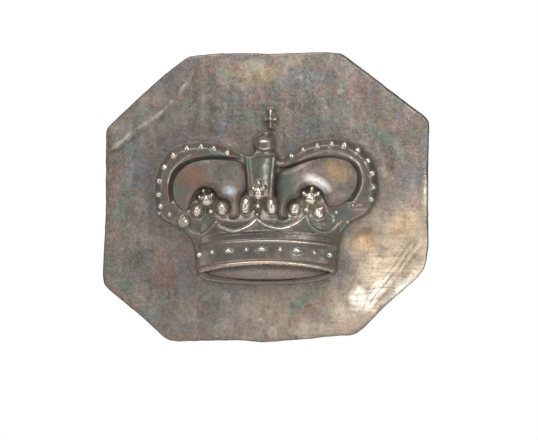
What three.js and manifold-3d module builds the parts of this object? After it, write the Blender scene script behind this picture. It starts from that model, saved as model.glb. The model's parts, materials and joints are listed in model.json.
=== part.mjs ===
// Cap badge: a die-struck crown on a hand-cut octagonal sheet plate.
// Millimetres. +Z is up as the badge is worn, the front faces -Y, and +X is to the
// right of somebody who looks at the front. The origin is the middle of the back
// face of the plate, the face that lies against the cap.
//
// Built as on the bench: face plate, cap lining with its two swelling lobes, voided
// crown frame, two pegs that hold the crown to the plate, two wire lugs with their
// braze collars, and the split pin that passes through both lugs behind the cloth.

import * as THREE from 'three';
import { mergeVertices } from 'three/addons/utils/BufferGeometryUtils.js';
import Module from 'manifold-3d';

const wasm = await Module();
wasm.setup();

// ---------------------------------------------------------------- dimensions
const PLATE_T = 0.8;            // plate sheet
const GAP = 0.05;               // between pieces that lie on each other
const LINING_T = 0.25;          // cap lining sheet
const FRAME_BACK = PLATE_T + GAP + LINING_T + GAP;   // depth of the back of the crown frame
const FRAME_T = 0.5;            // base sheet of the crown frame
const CIRCLET_H = 2.65;         // how far the circlet swells in front of the base sheet
const CIRCLET_WALL = 0.6;
const LOBE_H = 1.35;            // how far the lobes swell in front of the lining sheet
const LOBE_WALL = 0.3;
const PEG_R = 0.5, PEG_HOLE_R = 0.58, PEG_HEAD_R = 1.1, PEG_HEAD_H = 0.42;
const PEGS = [['crown_peg_left', -14.2, -3.0], ['crown_peg_right', 12.9, -2.4]];
const LUG_X = 10.0;             // lug planes at +-LUG_X
const LUG_WIRE_R = 0.6, LUG_HALF = 1.7, LUG_SHANK = 5.6;
const BRAZE_R0 = 0.68, BRAZE_R1 = 1.35, BRAZE_H = 0.9;
const PIN_Y = 5.7, PIN_R = 0.85, PIN_SPLIT = 0.15;
const PIN_TIP = -16.0, PIN_NECK = 12.6, PIN_EYE_R = 1.75;
const SEAT_X = 8.0, SEAT_Z = 6.0;   // half sides of the clear seat in the middle of the back

// Outline of the plate, from the top left corner round to the right: x, z.
const PLATE = [[-11.96, 21.55], [-8.28, 21.93], [-3.99, 22.09], [0.61, 21.93], [5.21, 22.09], [9.05, 22.19], [11.5, 22.01], [12.42, 21.47], [18.4, 16.87], [24.39, 12.35], [24.92, 11.5], [25, 10.58], [24.89, 5.67], [24.85, -1.99], [24.92, -7.36], [24.69, -9.66], [24.16, -11.2], [22.7, -12.88], [19.94, -15.26], [17.48, -17.56], [15.34, -19.79], [13.96, -20.86], [12.88, -21.17], [9.82, -21.4], [5.21, -21.86], [0.31, -22.24], [-3.99, -22.01], [-7.82, -21.93], [-13.19, -22.12], [-14.72, -22.02], [-15.49, -21.63], [-19.33, -18.1], [-23.93, -14.34], [-24.77, -13.34], [-25, -11.81], [-24.85, -8.13], [-24.62, -4.29], [-24.49, -0.46], [-24.54, 4.91], [-24.49, 9.97], [-24.23, 10.66], [-19.33, 15.34], [-15.49, 18.79]];
// Outline of the crown.
const CROWN = [[-10.89, -11.2], [-11.07, -9.28], [-11.5, -7.06], [-12.73, -5.52], [-14.72, -4.45], [-16.26, -3.37], [-16.95, -1.69], [-17.18, 0.31], [-17.02, 2.91], [-16.26, 5.21], [-14.72, 7.21], [-12.27, 8.28], [-9.66, 8.51], [-7.06, 8.13], [-4.6, 7.06], [-2.61, 6.13], [-1.53, 7.06], [-1.84, 8.28], [-1.53, 9.36], [-0.77, 9.82], [-1.07, 10.58], [-1.53, 11.66], [-1.23, 13.19], [-0.31, 13.96], [1.23, 13.96], [1.99, 13.04], [2.15, 11.66], [1.53, 10.43], [0.77, 9.82], [1.38, 9.2], [1.53, 8.13], [1.38, 7.06], [2.45, 6.13], [3.99, 7.21], [5.67, 8.21], [7.82, 8.82], [10.12, 9.05], [12.42, 8.74], [14.42, 7.82], [15.95, 6.29], [16.95, 4.45], [17.33, 2.3], [17.18, 0.15], [16.56, -1.53], [15.34, -2.91], [13.19, -4.14], [11.96, -5.52], [11.43, -7.06], [11.12, -9.2], [10.89, -11.5], [9.05, -12.65], [5.21, -13.27], [0, -13.42], [-5.21, -13.27], [-9.2, -12.73]];
// The same without the orb and the cross, as the lining is cut.
const CAP = [[-10.89, -11.2], [-11.07, -9.28], [-11.5, -7.06], [-12.73, -5.52], [-14.72, -4.45], [-16.26, -3.37], [-16.95, -1.69], [-17.18, 0.31], [-17.02, 2.91], [-16.26, 5.21], [-14.72, 7.21], [-12.27, 8.28], [-9.66, 8.51], [-7.06, 8.13], [-4.6, 7.06], [-2.61, 6.13], [2.45, 6.13], [3.99, 7.21], [5.67, 8.21], [7.82, 8.82], [10.12, 9.05], [12.42, 8.74], [14.42, 7.82], [15.95, 6.29], [16.95, 4.45], [17.33, 2.3], [17.18, 0.15], [16.56, -1.53], [15.34, -2.91], [13.19, -4.14], [11.96, -5.52], [11.43, -7.06], [11.12, -9.2], [10.89, -11.5], [9.05, -12.65], [5.21, -13.27], [0, -13.42], [-5.21, -13.27], [-9.2, -12.73]];
// Openings of the crown frame: left and right of the middle arch, and the mouth of the circlet.
const VOID_LEFT = [[-3.99, 5.21], [-5.83, 5.52], [-8.28, 5.67], [-10.28, 5.44], [-11.96, 4.83], [-13.19, 3.83], [-13.96, 2.61], [-14.19, 1.23], [-14.03, -0.15], [-13.5, -1.3], [-12.73, -1.92], [-11.96, -1.99], [-11.5, -0.77], [-10.89, 0.77], [-9.66, 1.53], [-8.13, 1.15], [-7.21, 0], [-5.75, -0.46], [-5.29, -1.69], [-5.67, -3.07], [-4.75, -3.3], [-3.99, -2.61], [-4.22, -1.07], [-3.83, 0.31], [-3.14, 1.23], [-3.14, 3.07], [-3.53, 4.45]];
const VOID_RIGHT = [[2.22, 3.83], [3.99, 4.45], [5.83, 5.21], [7.67, 5.75], [9.51, 6.06], [11.2, 5.9], [12.58, 5.37], [13.5, 4.37], [13.96, 3.07], [13.8, 1.69], [13.19, 0.46], [12.27, -0.54], [11.2, -1.15], [10.12, -1.38], [9.36, -1.23], [8.97, -0.15], [8.44, 1.15], [7.06, 1.84], [5.52, 1.23], [5.06, -0.08], [3.68, -0.46], [2.99, -1.69], [3.3, -3.07], [2.3, -3.37], [1.76, -2.61], [1.99, -1.23], [1.76, 0.15], [1.61, 1.38], [1.76, 2.61]];
// Side arches: the inner and the outer edge, from the middle of the crown outwards.
const ARCH_LEFT_IN = [[-2.91, 5.67], [-3.99, 5.98], [-6.29, 6.37], [-8.59, 6.52], [-10.74, 6.29], [-12.58, 5.67], [-13.96, 4.6], [-14.72, 3.22], [-15.03, 1.53], [-14.88, -0.15], [-14.42, -1.53]];
const ARCH_LEFT_OUT = [[-2.91, 6.13], [-4.6, 7.06], [-7.06, 8.13], [-9.66, 8.51], [-12.27, 8.28], [-14.72, 7.21], [-16.26, 5.21], [-17.02, 2.91], [-17.18, 0.31], [-16.87, -1.69], [-15.95, -3.07]];
const ARCH_RIGHT_IN = [[2.3, 4.45], [3.99, 5.26], [5.67, 5.98], [7.52, 6.55], [9.51, 6.9], [11.5, 6.72], [13.19, 6.13], [14.26, 5.06], [14.8, 3.53], [14.72, 1.84], [14.11, 0.46], [13.34, -0.61]];
const ARCH_RIGHT_OUT = [[2.3, 6.13], [3.99, 7.21], [5.67, 8.21], [7.82, 8.82], [10.12, 9.05], [12.42, 8.74], [14.42, 7.82], [15.95, 6.29], [16.95, 4.45], [17.33, 2.3], [17.18, 0.15], [16.56, -1.53], [15.34, -2.91]];
// Pearls on the arches: x, z, radius.
const PEARLS_LEFT = [[-5.83, 6.83, 0.4], [-7.93, 7.41, 0.46], [-9.89, 7.7, 0.48], [-12.09, 7.44, 0.49], [-14.16, 6.32, 0.52], [-15.57, 4.52, 0.46], [-16.37, 2.41, 0.46], [-16.47, 0.34, 0.46], [-16.18, -1.46, 0.43]];
const PEARLS_RIGHT = [[3.83, 6.29, 0.4], [5.67, 7.24, 0.43], [7.87, 7.82, 0.48], [10.08, 8.08, 0.48], [12.06, 7.99, 0.48], [14.11, 7.12, 0.51], [15.61, 5.52, 0.49], [16.29, 3.6, 0.49], [16.41, 1.53, 0.49], [16.18, -0.38, 0.46]];
// Cross ornaments. petals: x, z, half width, half height. beads: x, z, radius.
const ORNAMENTS = [
  { petals: [[-1.12, 0.54, 0.83, 1.07], [-3.11, -1.43, 0.8, 1.23], [0.87, -1.53, 0.83, 1.23]], beads: [[-1.12, 2.18, 0.4], [-1.95, 1.33, 0.37], [-0.35, 1.41, 0.38], [-1.23, -1.43, 0.44], [-1.32, -2.68, 0.31]], h: 2.9 },
  { petals: [[6.78, -0.23, 0.95, 0.98], [4.39, -1.92, 0.86, 1.07], [8.01, -2.48, 0.86, 0.95]], beads: [[6.99, 1.24, 0.37], [5.71, 0.61, 0.37], [7.98, 0.49, 0.37], [6.2, -1.95, 0.48], [8.59, -1.61, 0.28]], h: 2.6 },
  { petals: [[-9.05, -0.54, 0.98, 0.92], [-10.51, -2.15, 0.86, 0.95], [-6.66, -1.78, 0.86, 1.1]], beads: [[-9.54, 0.95, 0.34], [-10.15, 0, 0.34], [-8.25, 0.34, 0.35], [-8.4, -2.25, 0.44], [-6.83, -0.97, 0.28]], h: 2.5 },
];
const EDGE_KNOBS = [[-12.58, -3.76, 1.07], [-16.33, -2.48, 0.4], [-14.74, -2.75, 0.4], [-12.5, -3.25, 0.34], [10.74, -2.36, 0.37], [10.38, -3.67, 0.34], [12.5, -3.87, 0.34], [13.31, -1.32, 0.34]];
// Swags between the ornaments, as wires.
const SWAGS = [[[-12.27, -4.45], [-11.35, -5.37], [-10.12, -5.75], [-8.9, -5.21], [-7.67, -3.76]], [[-7.67, -3.76], [-6.9, -4.68], [-4.91, -5.26], [-2.91, -4.6], [-1.35, -3.31]], [[-1.35, -3.31], [-0.15, -4.29], [2.15, -4.85], [4.45, -4.14], [6.2, -2.81]], [[6.2, -2.81], [6.9, -4.45], [8.44, -5.37], [10.12, -5.14], [11.5, -3.83]]];
// Jewels on the circlet: x, z, half width, half height.
const JEWELS = [[-5.67, -8.25, 0.64, 0.37], [-0.61, -8.01, 0.71, 0.38], [4.75, -8.22, 0.64, 0.37], [-10.28, -8.9, 0.4, 0.34], [9.82, -8.9, 0.4, 0.34], [-8.24, -8.47, 0.29, 0.29], [-2.99, -8.04, 0.29, 0.29], [2.18, -8.02, 0.29, 0.29], [7.41, -8.5, 0.29, 0.29]];
const ORB = [-0.31, 8.05, 1.29];         // x, z, radius
const CROSS = [0.54, 12.04];        // x, z of its middle
const CIRCLET_MID = 0.12;     // x of the middle of the circlet
const CIRCLET_HALF = 10.97;

// ---------------------------------------------------------------- helpers
const depthAt = (h) => -(PLATE_T + h);   // y of a height h above the front of the plate

function indexed(geometry) {
  geometry.deleteAttribute('normal');
  geometry.deleteAttribute('uv');
  const g = mergeVertices(geometry, 1e-5);
  const keep = [];
  const ix = g.index.array;
  for (let i = 0; i < ix.length; i += 3) {
    if (ix[i] !== ix[i + 1] && ix[i + 1] !== ix[i + 2] && ix[i] !== ix[i + 2]) keep.push(ix[i], ix[i + 1], ix[i + 2]);
  }
  g.setIndex(keep);
  return outward(g);
}

function outward(g) {
  const p = g.attributes.position, ix = Array.from(g.index.array);
  const a = new THREE.Vector3(), b = new THREE.Vector3(), c = new THREE.Vector3();
  let volume = 0;
  for (let i = 0; i < ix.length; i += 3) {
    a.fromBufferAttribute(p, ix[i]); b.fromBufferAttribute(p, ix[i + 1]); c.fromBufferAttribute(p, ix[i + 2]);
    volume += a.dot(b.cross(c));
  }
  if (volume < 0) {
    for (let i = 0; i < ix.length; i += 3) { const t = ix[i]; ix[i] = ix[i + 1]; ix[i + 1] = t; }
    g.setIndex(ix);
  }
  return g;
}

function solid(geometry) {
  const g = indexed(geometry);
  return new wasm.Manifold(new wasm.Mesh({
    numProp: 3,
    vertProperties: new Float32Array(g.attributes.position.array),
    triVerts: new Uint32Array(g.index.array),
  }));
}

function geometryOf(manifold) {
  const m = manifold.getMesh();
  const g = new THREE.BufferGeometry();
  const n = m.numProp, count = m.vertProperties.length / n;
  const xyz = new Float32Array(count * 3);
  for (let i = 0; i < count; i++) for (let k = 0; k < 3; k++) xyz[3 * i + k] = m.vertProperties[n * i + k];
  g.setAttribute('position', new THREE.BufferAttribute(xyz, 3));
  g.setIndex(Array.from(m.triVerts));
  return g;
}

const joined = (list) => list.reduce((a, b) => a.add(b));

function turned(ring, clockwise) {
  const pts = ring.map(([x, z]) => new THREE.Vector2(x, z));
  return (THREE.ShapeUtils.area(pts) < 0) === clockwise ? pts : pts.reverse();
}

function shapeOf(outline, holes = []) {
  const s = new THREE.Shape(turned(outline, false));
  for (const h of holes) s.holes.push(new THREE.Path(turned(h, true)));
  return s;
}

// A flat piece between two heights above the front of the plate.
function sheet(outline, holes, h0, h1) {
  const g = new THREE.ExtrudeGeometry(shapeOf(outline, holes), { depth: h1 - h0, bevelEnabled: false });
  g.rotateX(Math.PI / 2);
  g.translate(0, depthAt(h0), 0);
  return g;
}

// A closed skin through rings of points, with a fan on each end.
function loft(rings) {
  const n = rings[0].length, xyz = [], ix = [];
  for (const r of rings) for (const p of r) xyz.push(p.x, p.y, p.z);
  for (let i = 0; i + 1 < rings.length; i++) {
    for (let j = 0; j < n; j++) {
      const a = i * n + j, b = i * n + (j + 1) % n;
      ix.push(a, b, b + n, a, b + n, a + n);
    }
  }
  for (const end of [0, rings.length - 1]) {
    const c = rings[end].reduce((s, p) => s.add(p), new THREE.Vector3()).multiplyScalar(1 / n);
    const k = xyz.length / 3;
    xyz.push(c.x, c.y, c.z);
    for (let j = 0; j < n; j++) {
      const a = end * n + j, b = end * n + (j + 1) % n;
      if (end === 0) ix.push(b, a, k); else ix.push(a, b, k);
    }
  }
  const g = new THREE.BufferGeometry();
  g.setAttribute('position', new THREE.BufferAttribute(new Float32Array(xyz), 3));
  g.setIndex(ix);
  return outward(g);
}

const curve2 = (pts) => new THREE.CatmullRomCurve3(pts.map(([x, z]) => new THREE.Vector3(x, 0, z)), false, 'centripetal');

function circle(cx, cz, r, n) {
  return Array.from({ length: n }, (_, i) => [cx + r * Math.cos(2 * Math.PI * i / n), cz + r * Math.sin(2 * Math.PI * i / n)]);
}

// A dome or bead: an ellipsoid whose middle is at height h.
function bead(x, z, rx, rz, ry, h, detail = Math.max(rx, rz) < 0.42 ? 0 : 1) {
  const g = new THREE.IcosahedronGeometry(1, detail);
  g.scale(rx, ry, rz);
  g.translate(x, depthAt(h), z);
  return solid(g);
}

// A wire on the face of the crown: a section with six sides along points (x, z, h).
function wire(points, r) {
  const path = new THREE.CatmullRomCurve3(points.map(([x, z, h]) => new THREE.Vector3(x, depthAt(h), z)), false, 'centripetal');
  const steps = Math.max(4, Math.round(points.length * 1.3));
  const rings = [];
  for (let i = 0; i <= steps; i++) {
    const p = path.getPoint(i / steps), t = path.getTangent(i / steps);
    const side = new THREE.Vector3(0, 1, 0).cross(t).normalize();
    const front = new THREE.Vector3().crossVectors(t, side).normalize();
    rings.push(Array.from({ length: 6 }, (_, k) => {
      const a = Math.PI * k / 3;
      return p.clone().addScaledVector(side, r * Math.cos(a)).addScaledVector(front, r * Math.sin(a));
    }));
  }
  return solid(loft(rings));
}

// Swell of the circlet across its width: 1 in the middle, 0 at the two ends.
function swell(x) {
  const u = Math.min(1, Math.abs((x - CIRCLET_MID) / CIRCLET_HALF));
  return Math.pow(1 - Math.pow(u, 2.2), 0.62);
}
// The circlet is seen a little from below, so its lines arch downwards to the ends.
const sag = (x, drop) => -drop * Math.pow((x - CIRCLET_MID) / CIRCLET_HALF, 2);
// Height of the skin of the circlet and of the skirt above it.
const skin = (x, share) => FRAME_BACK - PLATE_T + FRAME_T * 0.6 + CIRCLET_H * swell(x) * share;

// ---------------------------------------------------------------- face plate
// The back has a clear rectangular seat of its own in the middle, and two peg holes.
function facePlate() {
  const seat = [[-SEAT_X, -SEAT_Z], [SEAT_X, -SEAT_Z], [SEAT_X, SEAT_Z], [-SEAT_X, SEAT_Z]];
  const holes = PEGS.map(([, x, z]) => circle(x, z, PEG_HOLE_R, 16));
  const xyz = [];
  const face = (outline, gaps, y, up) => {
    const rings = [outline, ...gaps].map((r) => r.map(([x, z]) => new THREE.Vector2(x, z)));
    const flat = [].concat(...rings);
    for (const [a, b, c] of THREE.ShapeUtils.triangulateShape(rings[0], rings.slice(1))) {
      const area = (flat[b].x - flat[a].x) * (flat[c].y - flat[a].y) - (flat[c].x - flat[a].x) * (flat[b].y - flat[a].y);
      const order = (area > 0) === up ? [a, c, b] : [a, b, c];
      for (const k of order) xyz.push(flat[k].x, y, flat[k].y);
    }
  };
  face(PLATE, [seat, ...holes], 0, true);
  face(seat, [], 0, true);
  face(PLATE, holes, -PLATE_T, false);
  for (const [ring, outer] of [[PLATE, true], ...holes.map((h) => [h, false])]) {
    const area = THREE.ShapeUtils.area(ring.map(([x, z]) => new THREE.Vector2(x, z)));
    const flip = (area > 0) !== outer;
    ring.forEach(([x0, z0], i) => {
      const [x1, z1] = ring[(i + 1) % ring.length];
      const q = [[x0, 0, z0], [x1, 0, z1], [x1, -PLATE_T, z1], [x0, -PLATE_T, z0]];
      const order = flip ? [0, 2, 1, 0, 3, 2] : [0, 1, 2, 0, 2, 3];
      for (const k of order) xyz.push(...q[k]);
    });
  }
  const g = new THREE.BufferGeometry();
  g.setAttribute('position', new THREE.BufferAttribute(new Float32Array(xyz), 3));
  return outward(mergeVertices(g, 1e-5));
}

// ---------------------------------------------------------------- crown frame
// A side arch: a rounded band between its inner and outer edge.
function arch(inner, outer, crest) {
  const a = curve2(inner), b = curve2(outer), steps = 18, rings = [];
  const foot = FRAME_BACK - PLATE_T + 0.2;
  for (let i = 0; i <= steps; i++) {
    const t = i / steps, p = a.getPointAt(t), q = b.getPointAt(t);
    const lift = crest * (0.86 + 0.14 * Math.sin(Math.PI * Math.min(1, t * 1.15)));
    const at = (s, h) => new THREE.Vector3(p.x + (q.x - p.x) * s, depthAt(h), p.z + (q.z - p.z) * s);
    rings.push([at(0, foot), at(0.02, lift * 0.8), at(0.3, lift), at(0.75, lift * 0.88), at(0.98, lift * 0.5), at(1, foot)]);
  }
  return solid(loft(rings));
}

function circlet() {
  const rings = [], steps = 22;
  // Profile from the mouth up to the top of the skirt: z at the middle, drop at the ends, share of the swell.
  const profile = [[-10.25, 1.3, 0.9], [-10.06, 1.29, 1], [-9.75, 1.26, 1], [-9.51, 1.23, 0.9], [-7.52, 1.01, 0.9], [-7.06, 0.98, 0.94], [-6.87, 0.97, 1], [-6.56, 0.95, 1], [-6.37, 0.92, 0.9], [-5.21, 0.77, 0.78], [-3.99, 0.61, 0.6], [-2.99, 0.46, 0.42]];
  for (let i = 0; i <= steps; i++) {
    const u = -1 + 2 * i / steps;
    const x = CIRCLET_MID + CIRCLET_HALF * Math.sin(u * Math.PI / 2) * 0.995;
    const front = profile.map(([z, drop, share]) => new THREE.Vector3(x, depthAt(skin(x, share)), z + sag(x, drop)));
    const back = front.map((p, k) => new THREE.Vector3(
      p.x, Math.min(-FRAME_BACK - 0.02, p.y + CIRCLET_WALL), p.z + (k === 0 ? 0.0 : k === front.length - 1 ? -0.0 : 0))).reverse();
    rings.push([...front, ...back]);
  }
  return solid(loft(rings));
}

function middleArch() {
  const rings = [];
  for (let i = 0; i <= 8; i++) {
    const t = i / 8, z = 6.9 + (0 - 6.9) * t;
    const half = 2.68 + (1.89 - 2.68) * Math.pow(t, 0.8);
    const x = -0.8 + 0.05 * t, h = 1.45 + 0.95 * t, foot = FRAME_BACK - PLATE_T + 0.2;
    rings.push([[-1, foot], [-1, h - 0.35], [-0.72, h - 0.05], [-0.35, h], [0, h + 0.08], [0.35, h], [0.72, h - 0.05], [1, h - 0.35], [1, foot]]
      .map(([s, hh]) => new THREE.Vector3(x + s * half, depthAt(hh), z)));
  }
  return solid(loft(rings));
}

// A cross with four arms that widen outwards, on a short neck above the orb.
function finial() {
  const [cx, cz] = CROSS, arms = [];
  for (let k = 0; k < 4; k++) {
    const c = Math.cos(k * Math.PI / 2), s = Math.sin(k * Math.PI / 2);
    for (const [x, z] of [[0.3, -0.3], [1.12, -0.62], [1.3, 0], [1.12, 0.62], [0.3, 0.3]]) arms.push([cx + x * c - z * s, cz + (x * s + z * c) * 1.08]);
  }
  const base = FRAME_BACK - PLATE_T;
  const cross = solid(sheet(arms, [], base, 1.55));
  const boss = bead(cx, cz, 0.55, 0.55, 0.5, 1.5);
  const neck = solid(sheet([[cx - 0.9, cz - 2.9], [cx + 0.1, cz - 2.9], [cx + 0.3, cz - 1], [cx - 0.3, cz - 1]], [], base, 1.35));
  return joined([cross, boss, neck]);
}

function crownFrame() {
  const base = FRAME_BACK - PLATE_T;
  const hollow = [[-8.9, -12.04], [-5.21, -12.67], [0, -12.88], [5.21, -12.67], [9.05, -12.04], [9.97, -9.97], [9.66, -7.52], [8.74, -5.52], [7.06, -4.14], [3.68, -3.83], [0, -3.83], [-3.99, -3.83], [-6.75, -4.14], [-8.44, -5.52], [-9.2, -7.52], [-9.59, -9.97]];
  const ground = solid(sheet(CROWN, [VOID_LEFT, VOID_RIGHT, hollow], base, base + FRAME_T));
  const parts = [ground, circlet(), middleArch(), finial(),
    arch(ARCH_LEFT_IN, ARCH_LEFT_OUT, 1.95), arch(ARCH_RIGHT_IN, ARCH_RIGHT_OUT, 2.15)];
  for (const [x, z, r] of PEARLS_LEFT) parts.push(bead(x, z, r, r, r, 1.85));
  for (const [x, z, r] of PEARLS_RIGHT) parts.push(bead(x, z, r, r, r, 2.05));
  for (const { petals, beads, h } of ORNAMENTS) {
    for (const [x, z, rx, rz] of petals) parts.push(bead(x, z, rx, rz, h - 1.25, 1.25));
    for (const [x, z, r] of beads) parts.push(bead(x, z, r, r, h - 1.1, 1.3));
    const [, left, right] = petals, [fx, fz] = beads[3];
    const xs = petals.map((p) => p[0]), zs = petals.map((p) => p[1]);
    parts.push(solid(sheet([[left[0], left[1] - 0.6], [right[0], right[1] - 0.6], [right[0] - 0.2, right[1] + 0.6], [petals[0][0] + 0.6, petals[0][1] + 0.5],
      [petals[0][0] - 0.6, petals[0][1] + 0.5], [left[0] + 0.2, left[1] + 0.6]], [], base, h - 0.6)));
  }
  for (const [x, z, r] of EDGE_KNOBS) parts.push(bead(x, z, r, r, r + 0.5, 0.8));
  for (const s of SWAGS) parts.push(wire(s.map(([x, z]) => [x, z, skin(x, 0.62) + 0.12]), 0.2));
  for (const [x, z, rx, rz] of JEWELS) parts.push(bead(x, z, rx, rz, 0.42, skin(x, 0.92)));
  const [ox, oz, or] = ORB;
  parts.push(bead(ox, oz, or, or * 0.97, 1.25, 1.35, 2));
  let frame = joined(parts);
  frame = frame.intersect(solid(sheet([[-40, -40], [40, -40], [40, 40], [-40, 40]], [], base, 8)));
  return frame;
}

// ---------------------------------------------------------------- cap lining
function inset(outline, d) {
  const n = outline.length, area = THREE.ShapeUtils.area(outline.map(([x, z]) => new THREE.Vector2(x, z)));
  const turn = area > 0 ? 1 : -1;
  return outline.map(([x, z], i) => {
    const [ax, az] = outline[(i + n - 1) % n], [bx, bz] = outline[(i + 1) % n];
    const tx = bx - ax, tz = bz - az, l = Math.hypot(tx, tz) || 1;
    return [x - turn * d * tz / l, z + turn * d * tx / l];
  });
}

function capLining() {
  const back = GAP, front = GAP + LINING_T;
  const pegHoles = PEGS.map(([, x, z]) => circle(x, z, PEG_HOLE_R, 12));
  let lining = solid(sheet(inset(CAP, 0.3), pegHoles, back, front));
  const lobes = [[-8.74, 1.53, 5.67, 5.37], [7.98, 1.84, 6.29, 5.37]];
  const regions = [VOID_LEFT, VOID_RIGHT];
  lobes.forEach(([x, z, rx, rz], k) => {
    const region = solid(sheet(inset(regions[k], 0.22), [], back + 0.05, 4));
    const inner = solid(sheet(inset(regions[k], 0.22 + LOBE_WALL), [], back - 0.5, 4));
    const dome = (grow) => {
      const g = new THREE.SphereGeometry(1, 28, 14);
      g.rotateX(Math.PI / 2);
      g.scale(rx + grow, front + LOBE_H + grow - back, rz + grow);
      g.translate(x, depthAt(back), z);
      return solid(g);
    };
    lining = lining.add(dome(0).intersect(region)).subtract(dome(-LOBE_WALL).intersect(inner));
  });
  return lining;
}

// ---------------------------------------------------------------- fixings
function peg(x, z) {
  const y0 = -FRAME_BACK + 0.04, y1 = GAP;
  const profile = [[0, y0], [PEG_R, y0], [PEG_R, y1], [PEG_HEAD_R, y1], [PEG_HEAD_R * 0.92, y1 + PEG_HEAD_H * 0.5], [PEG_HEAD_R * 0.6, y1 + PEG_HEAD_H * 0.88], [0, y1 + PEG_HEAD_H]];
  const g = new THREE.LatheGeometry(profile.map(([r, y]) => new THREE.Vector2(r, y)), 16);
  g.translate(x, 0, z);
  return indexed(g);
}

function lug(x) {
  const rings = [], n = 10, path = [];
  for (let i = 0; i <= 4; i++) path.push([LUG_HALF, GAP + (LUG_SHANK - GAP) * i / 4, 0]);
  for (let i = 1; i <= 12; i++) path.push([LUG_HALF * Math.cos(Math.PI * i / 12), LUG_SHANK + LUG_HALF * Math.sin(Math.PI * i / 12), Math.PI * i / 12]);
  for (let i = 1; i <= 4; i++) path.push([-LUG_HALF, LUG_SHANK + (GAP - LUG_SHANK) * i / 4, Math.PI]);
  for (const [z, y, a] of path) {
    rings.push(Array.from({ length: n }, (_, k) => {
      const b = 2 * Math.PI * k / n, r = LUG_WIRE_R * Math.cos(b);
      return new THREE.Vector3(x + LUG_WIRE_R * Math.sin(b), y + r * Math.sin(a), z + r * Math.cos(a));
    }));
  }
  return loft(rings);
}

// The braze round the two feet of a lug, one fillet that joins them.
function braze(x) {
  const collar = (z) => {
    const profile = [[BRAZE_R0, GAP], [BRAZE_R1, GAP], [BRAZE_R1 * 0.8, GAP + BRAZE_H * 0.4], [BRAZE_R0 + 0.12, GAP + BRAZE_H], [BRAZE_R0, GAP + BRAZE_H], [BRAZE_R0, GAP]];
    const g = new THREE.LatheGeometry(profile.map(([r, y]) => new THREE.Vector2(r, y)), 16);
    g.translate(x, 0, z);
    return solid(g);
  };
  const web = new THREE.BoxGeometry(0.9, BRAZE_H * 0.3, 2 * (LUG_HALF - BRAZE_R0 - 0.1));
  web.translate(x, GAP + BRAZE_H * 0.15, 0);
  return joined([collar(LUG_HALF), collar(-LUG_HALF), solid(web)]);
}

// Split pin: one half-round wire doubled on itself, with a ring at its head.
function cotterPin() {
  const section = [];   // half round: flat towards the split
  for (let k = 0; k <= 6; k++) {
    const a = Math.PI * k / 6;
    section.push([PIN_R * Math.cos(a), (PIN_R - PIN_SPLIT) * Math.sin(a)]);
  }
  // Path of the flat side of the wire in the XZ plane, with the outward direction.
  const path = [];
  const tip = PIN_TIP, cx = PIN_NECK + PIN_EYE_R * 1.25;
  const start = Math.PI - Math.asin(PIN_SPLIT / PIN_EYE_R) - 0.42;
  for (const x of [tip, tip + 8, tip + 16, tip + 24, PIN_NECK - 1.2]) path.push([x, PIN_SPLIT, 0, 1]);
  for (let i = 0; i <= 16; i++) {
    const a = start - (2 * start) * i / 16;
    path.push([cx + PIN_EYE_R * Math.cos(a) * 0.78, PIN_EYE_R * 0.78 * Math.sin(a), Math.cos(a), Math.sin(a)]);
  }
  for (const x of [PIN_NECK - 1.2, tip + 24.6, tip + 16.6, tip + 8.6, tip + 1.5]) path.push([x, -PIN_SPLIT, 0, -1]);
  const rings = path.map(([x, z, nx, nz]) => section.map(([w, d]) => new THREE.Vector3(x + nx * d, PIN_Y + w, z + nz * d)));
  return loft(rings);
}

// ---------------------------------------------------------------- assembly
const badge = new THREE.Group();
badge.name = 'cap_badge';

const bronze = () => new THREE.MeshStandardMaterial({ color: 0x8b7f74, roughness: 0.46, metalness: 0.9 });
const darkBronze = () => new THREE.MeshStandardMaterial({ color: 0x6d6152, roughness: 0.4, metalness: 0.92 });
const lining = () => new THREE.MeshStandardMaterial({ color: 0x57514a, roughness: 0.42, metalness: 0.88 });
const copper = () => new THREE.MeshStandardMaterial({ color: 0x9a6248, roughness: 0.4, metalness: 0.95 });
const solder = () => new THREE.MeshStandardMaterial({ color: 0x8d8d88, roughness: 0.5, metalness: 0.8 });
const brass = () => new THREE.MeshStandardMaterial({ color: 0xb0904f, roughness: 0.35, metalness: 0.95 });

function put(name, geometry, material) {
  const mesh = new THREE.Mesh(geometry, material);
  mesh.name = name;
  badge.add(mesh);
}

put('face_plate', facePlate(), bronze());
put('crown_cap_lining', geometryOf(capLining()), lining());
put('crown_frame', geometryOf(crownFrame()), darkBronze());
for (const [name, x, z] of PEGS) put(name, peg(x, z), copper());
put('lug_left', lug(-LUG_X), copper());
put('lug_right', lug(LUG_X), copper());
put('lug_braze_left', geometryOf(braze(-LUG_X)), solder());
put('lug_braze_right', geometryOf(braze(LUG_X)), solder());
put('cotter_pin', cotterPin(), brass());

export default badge;
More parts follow.
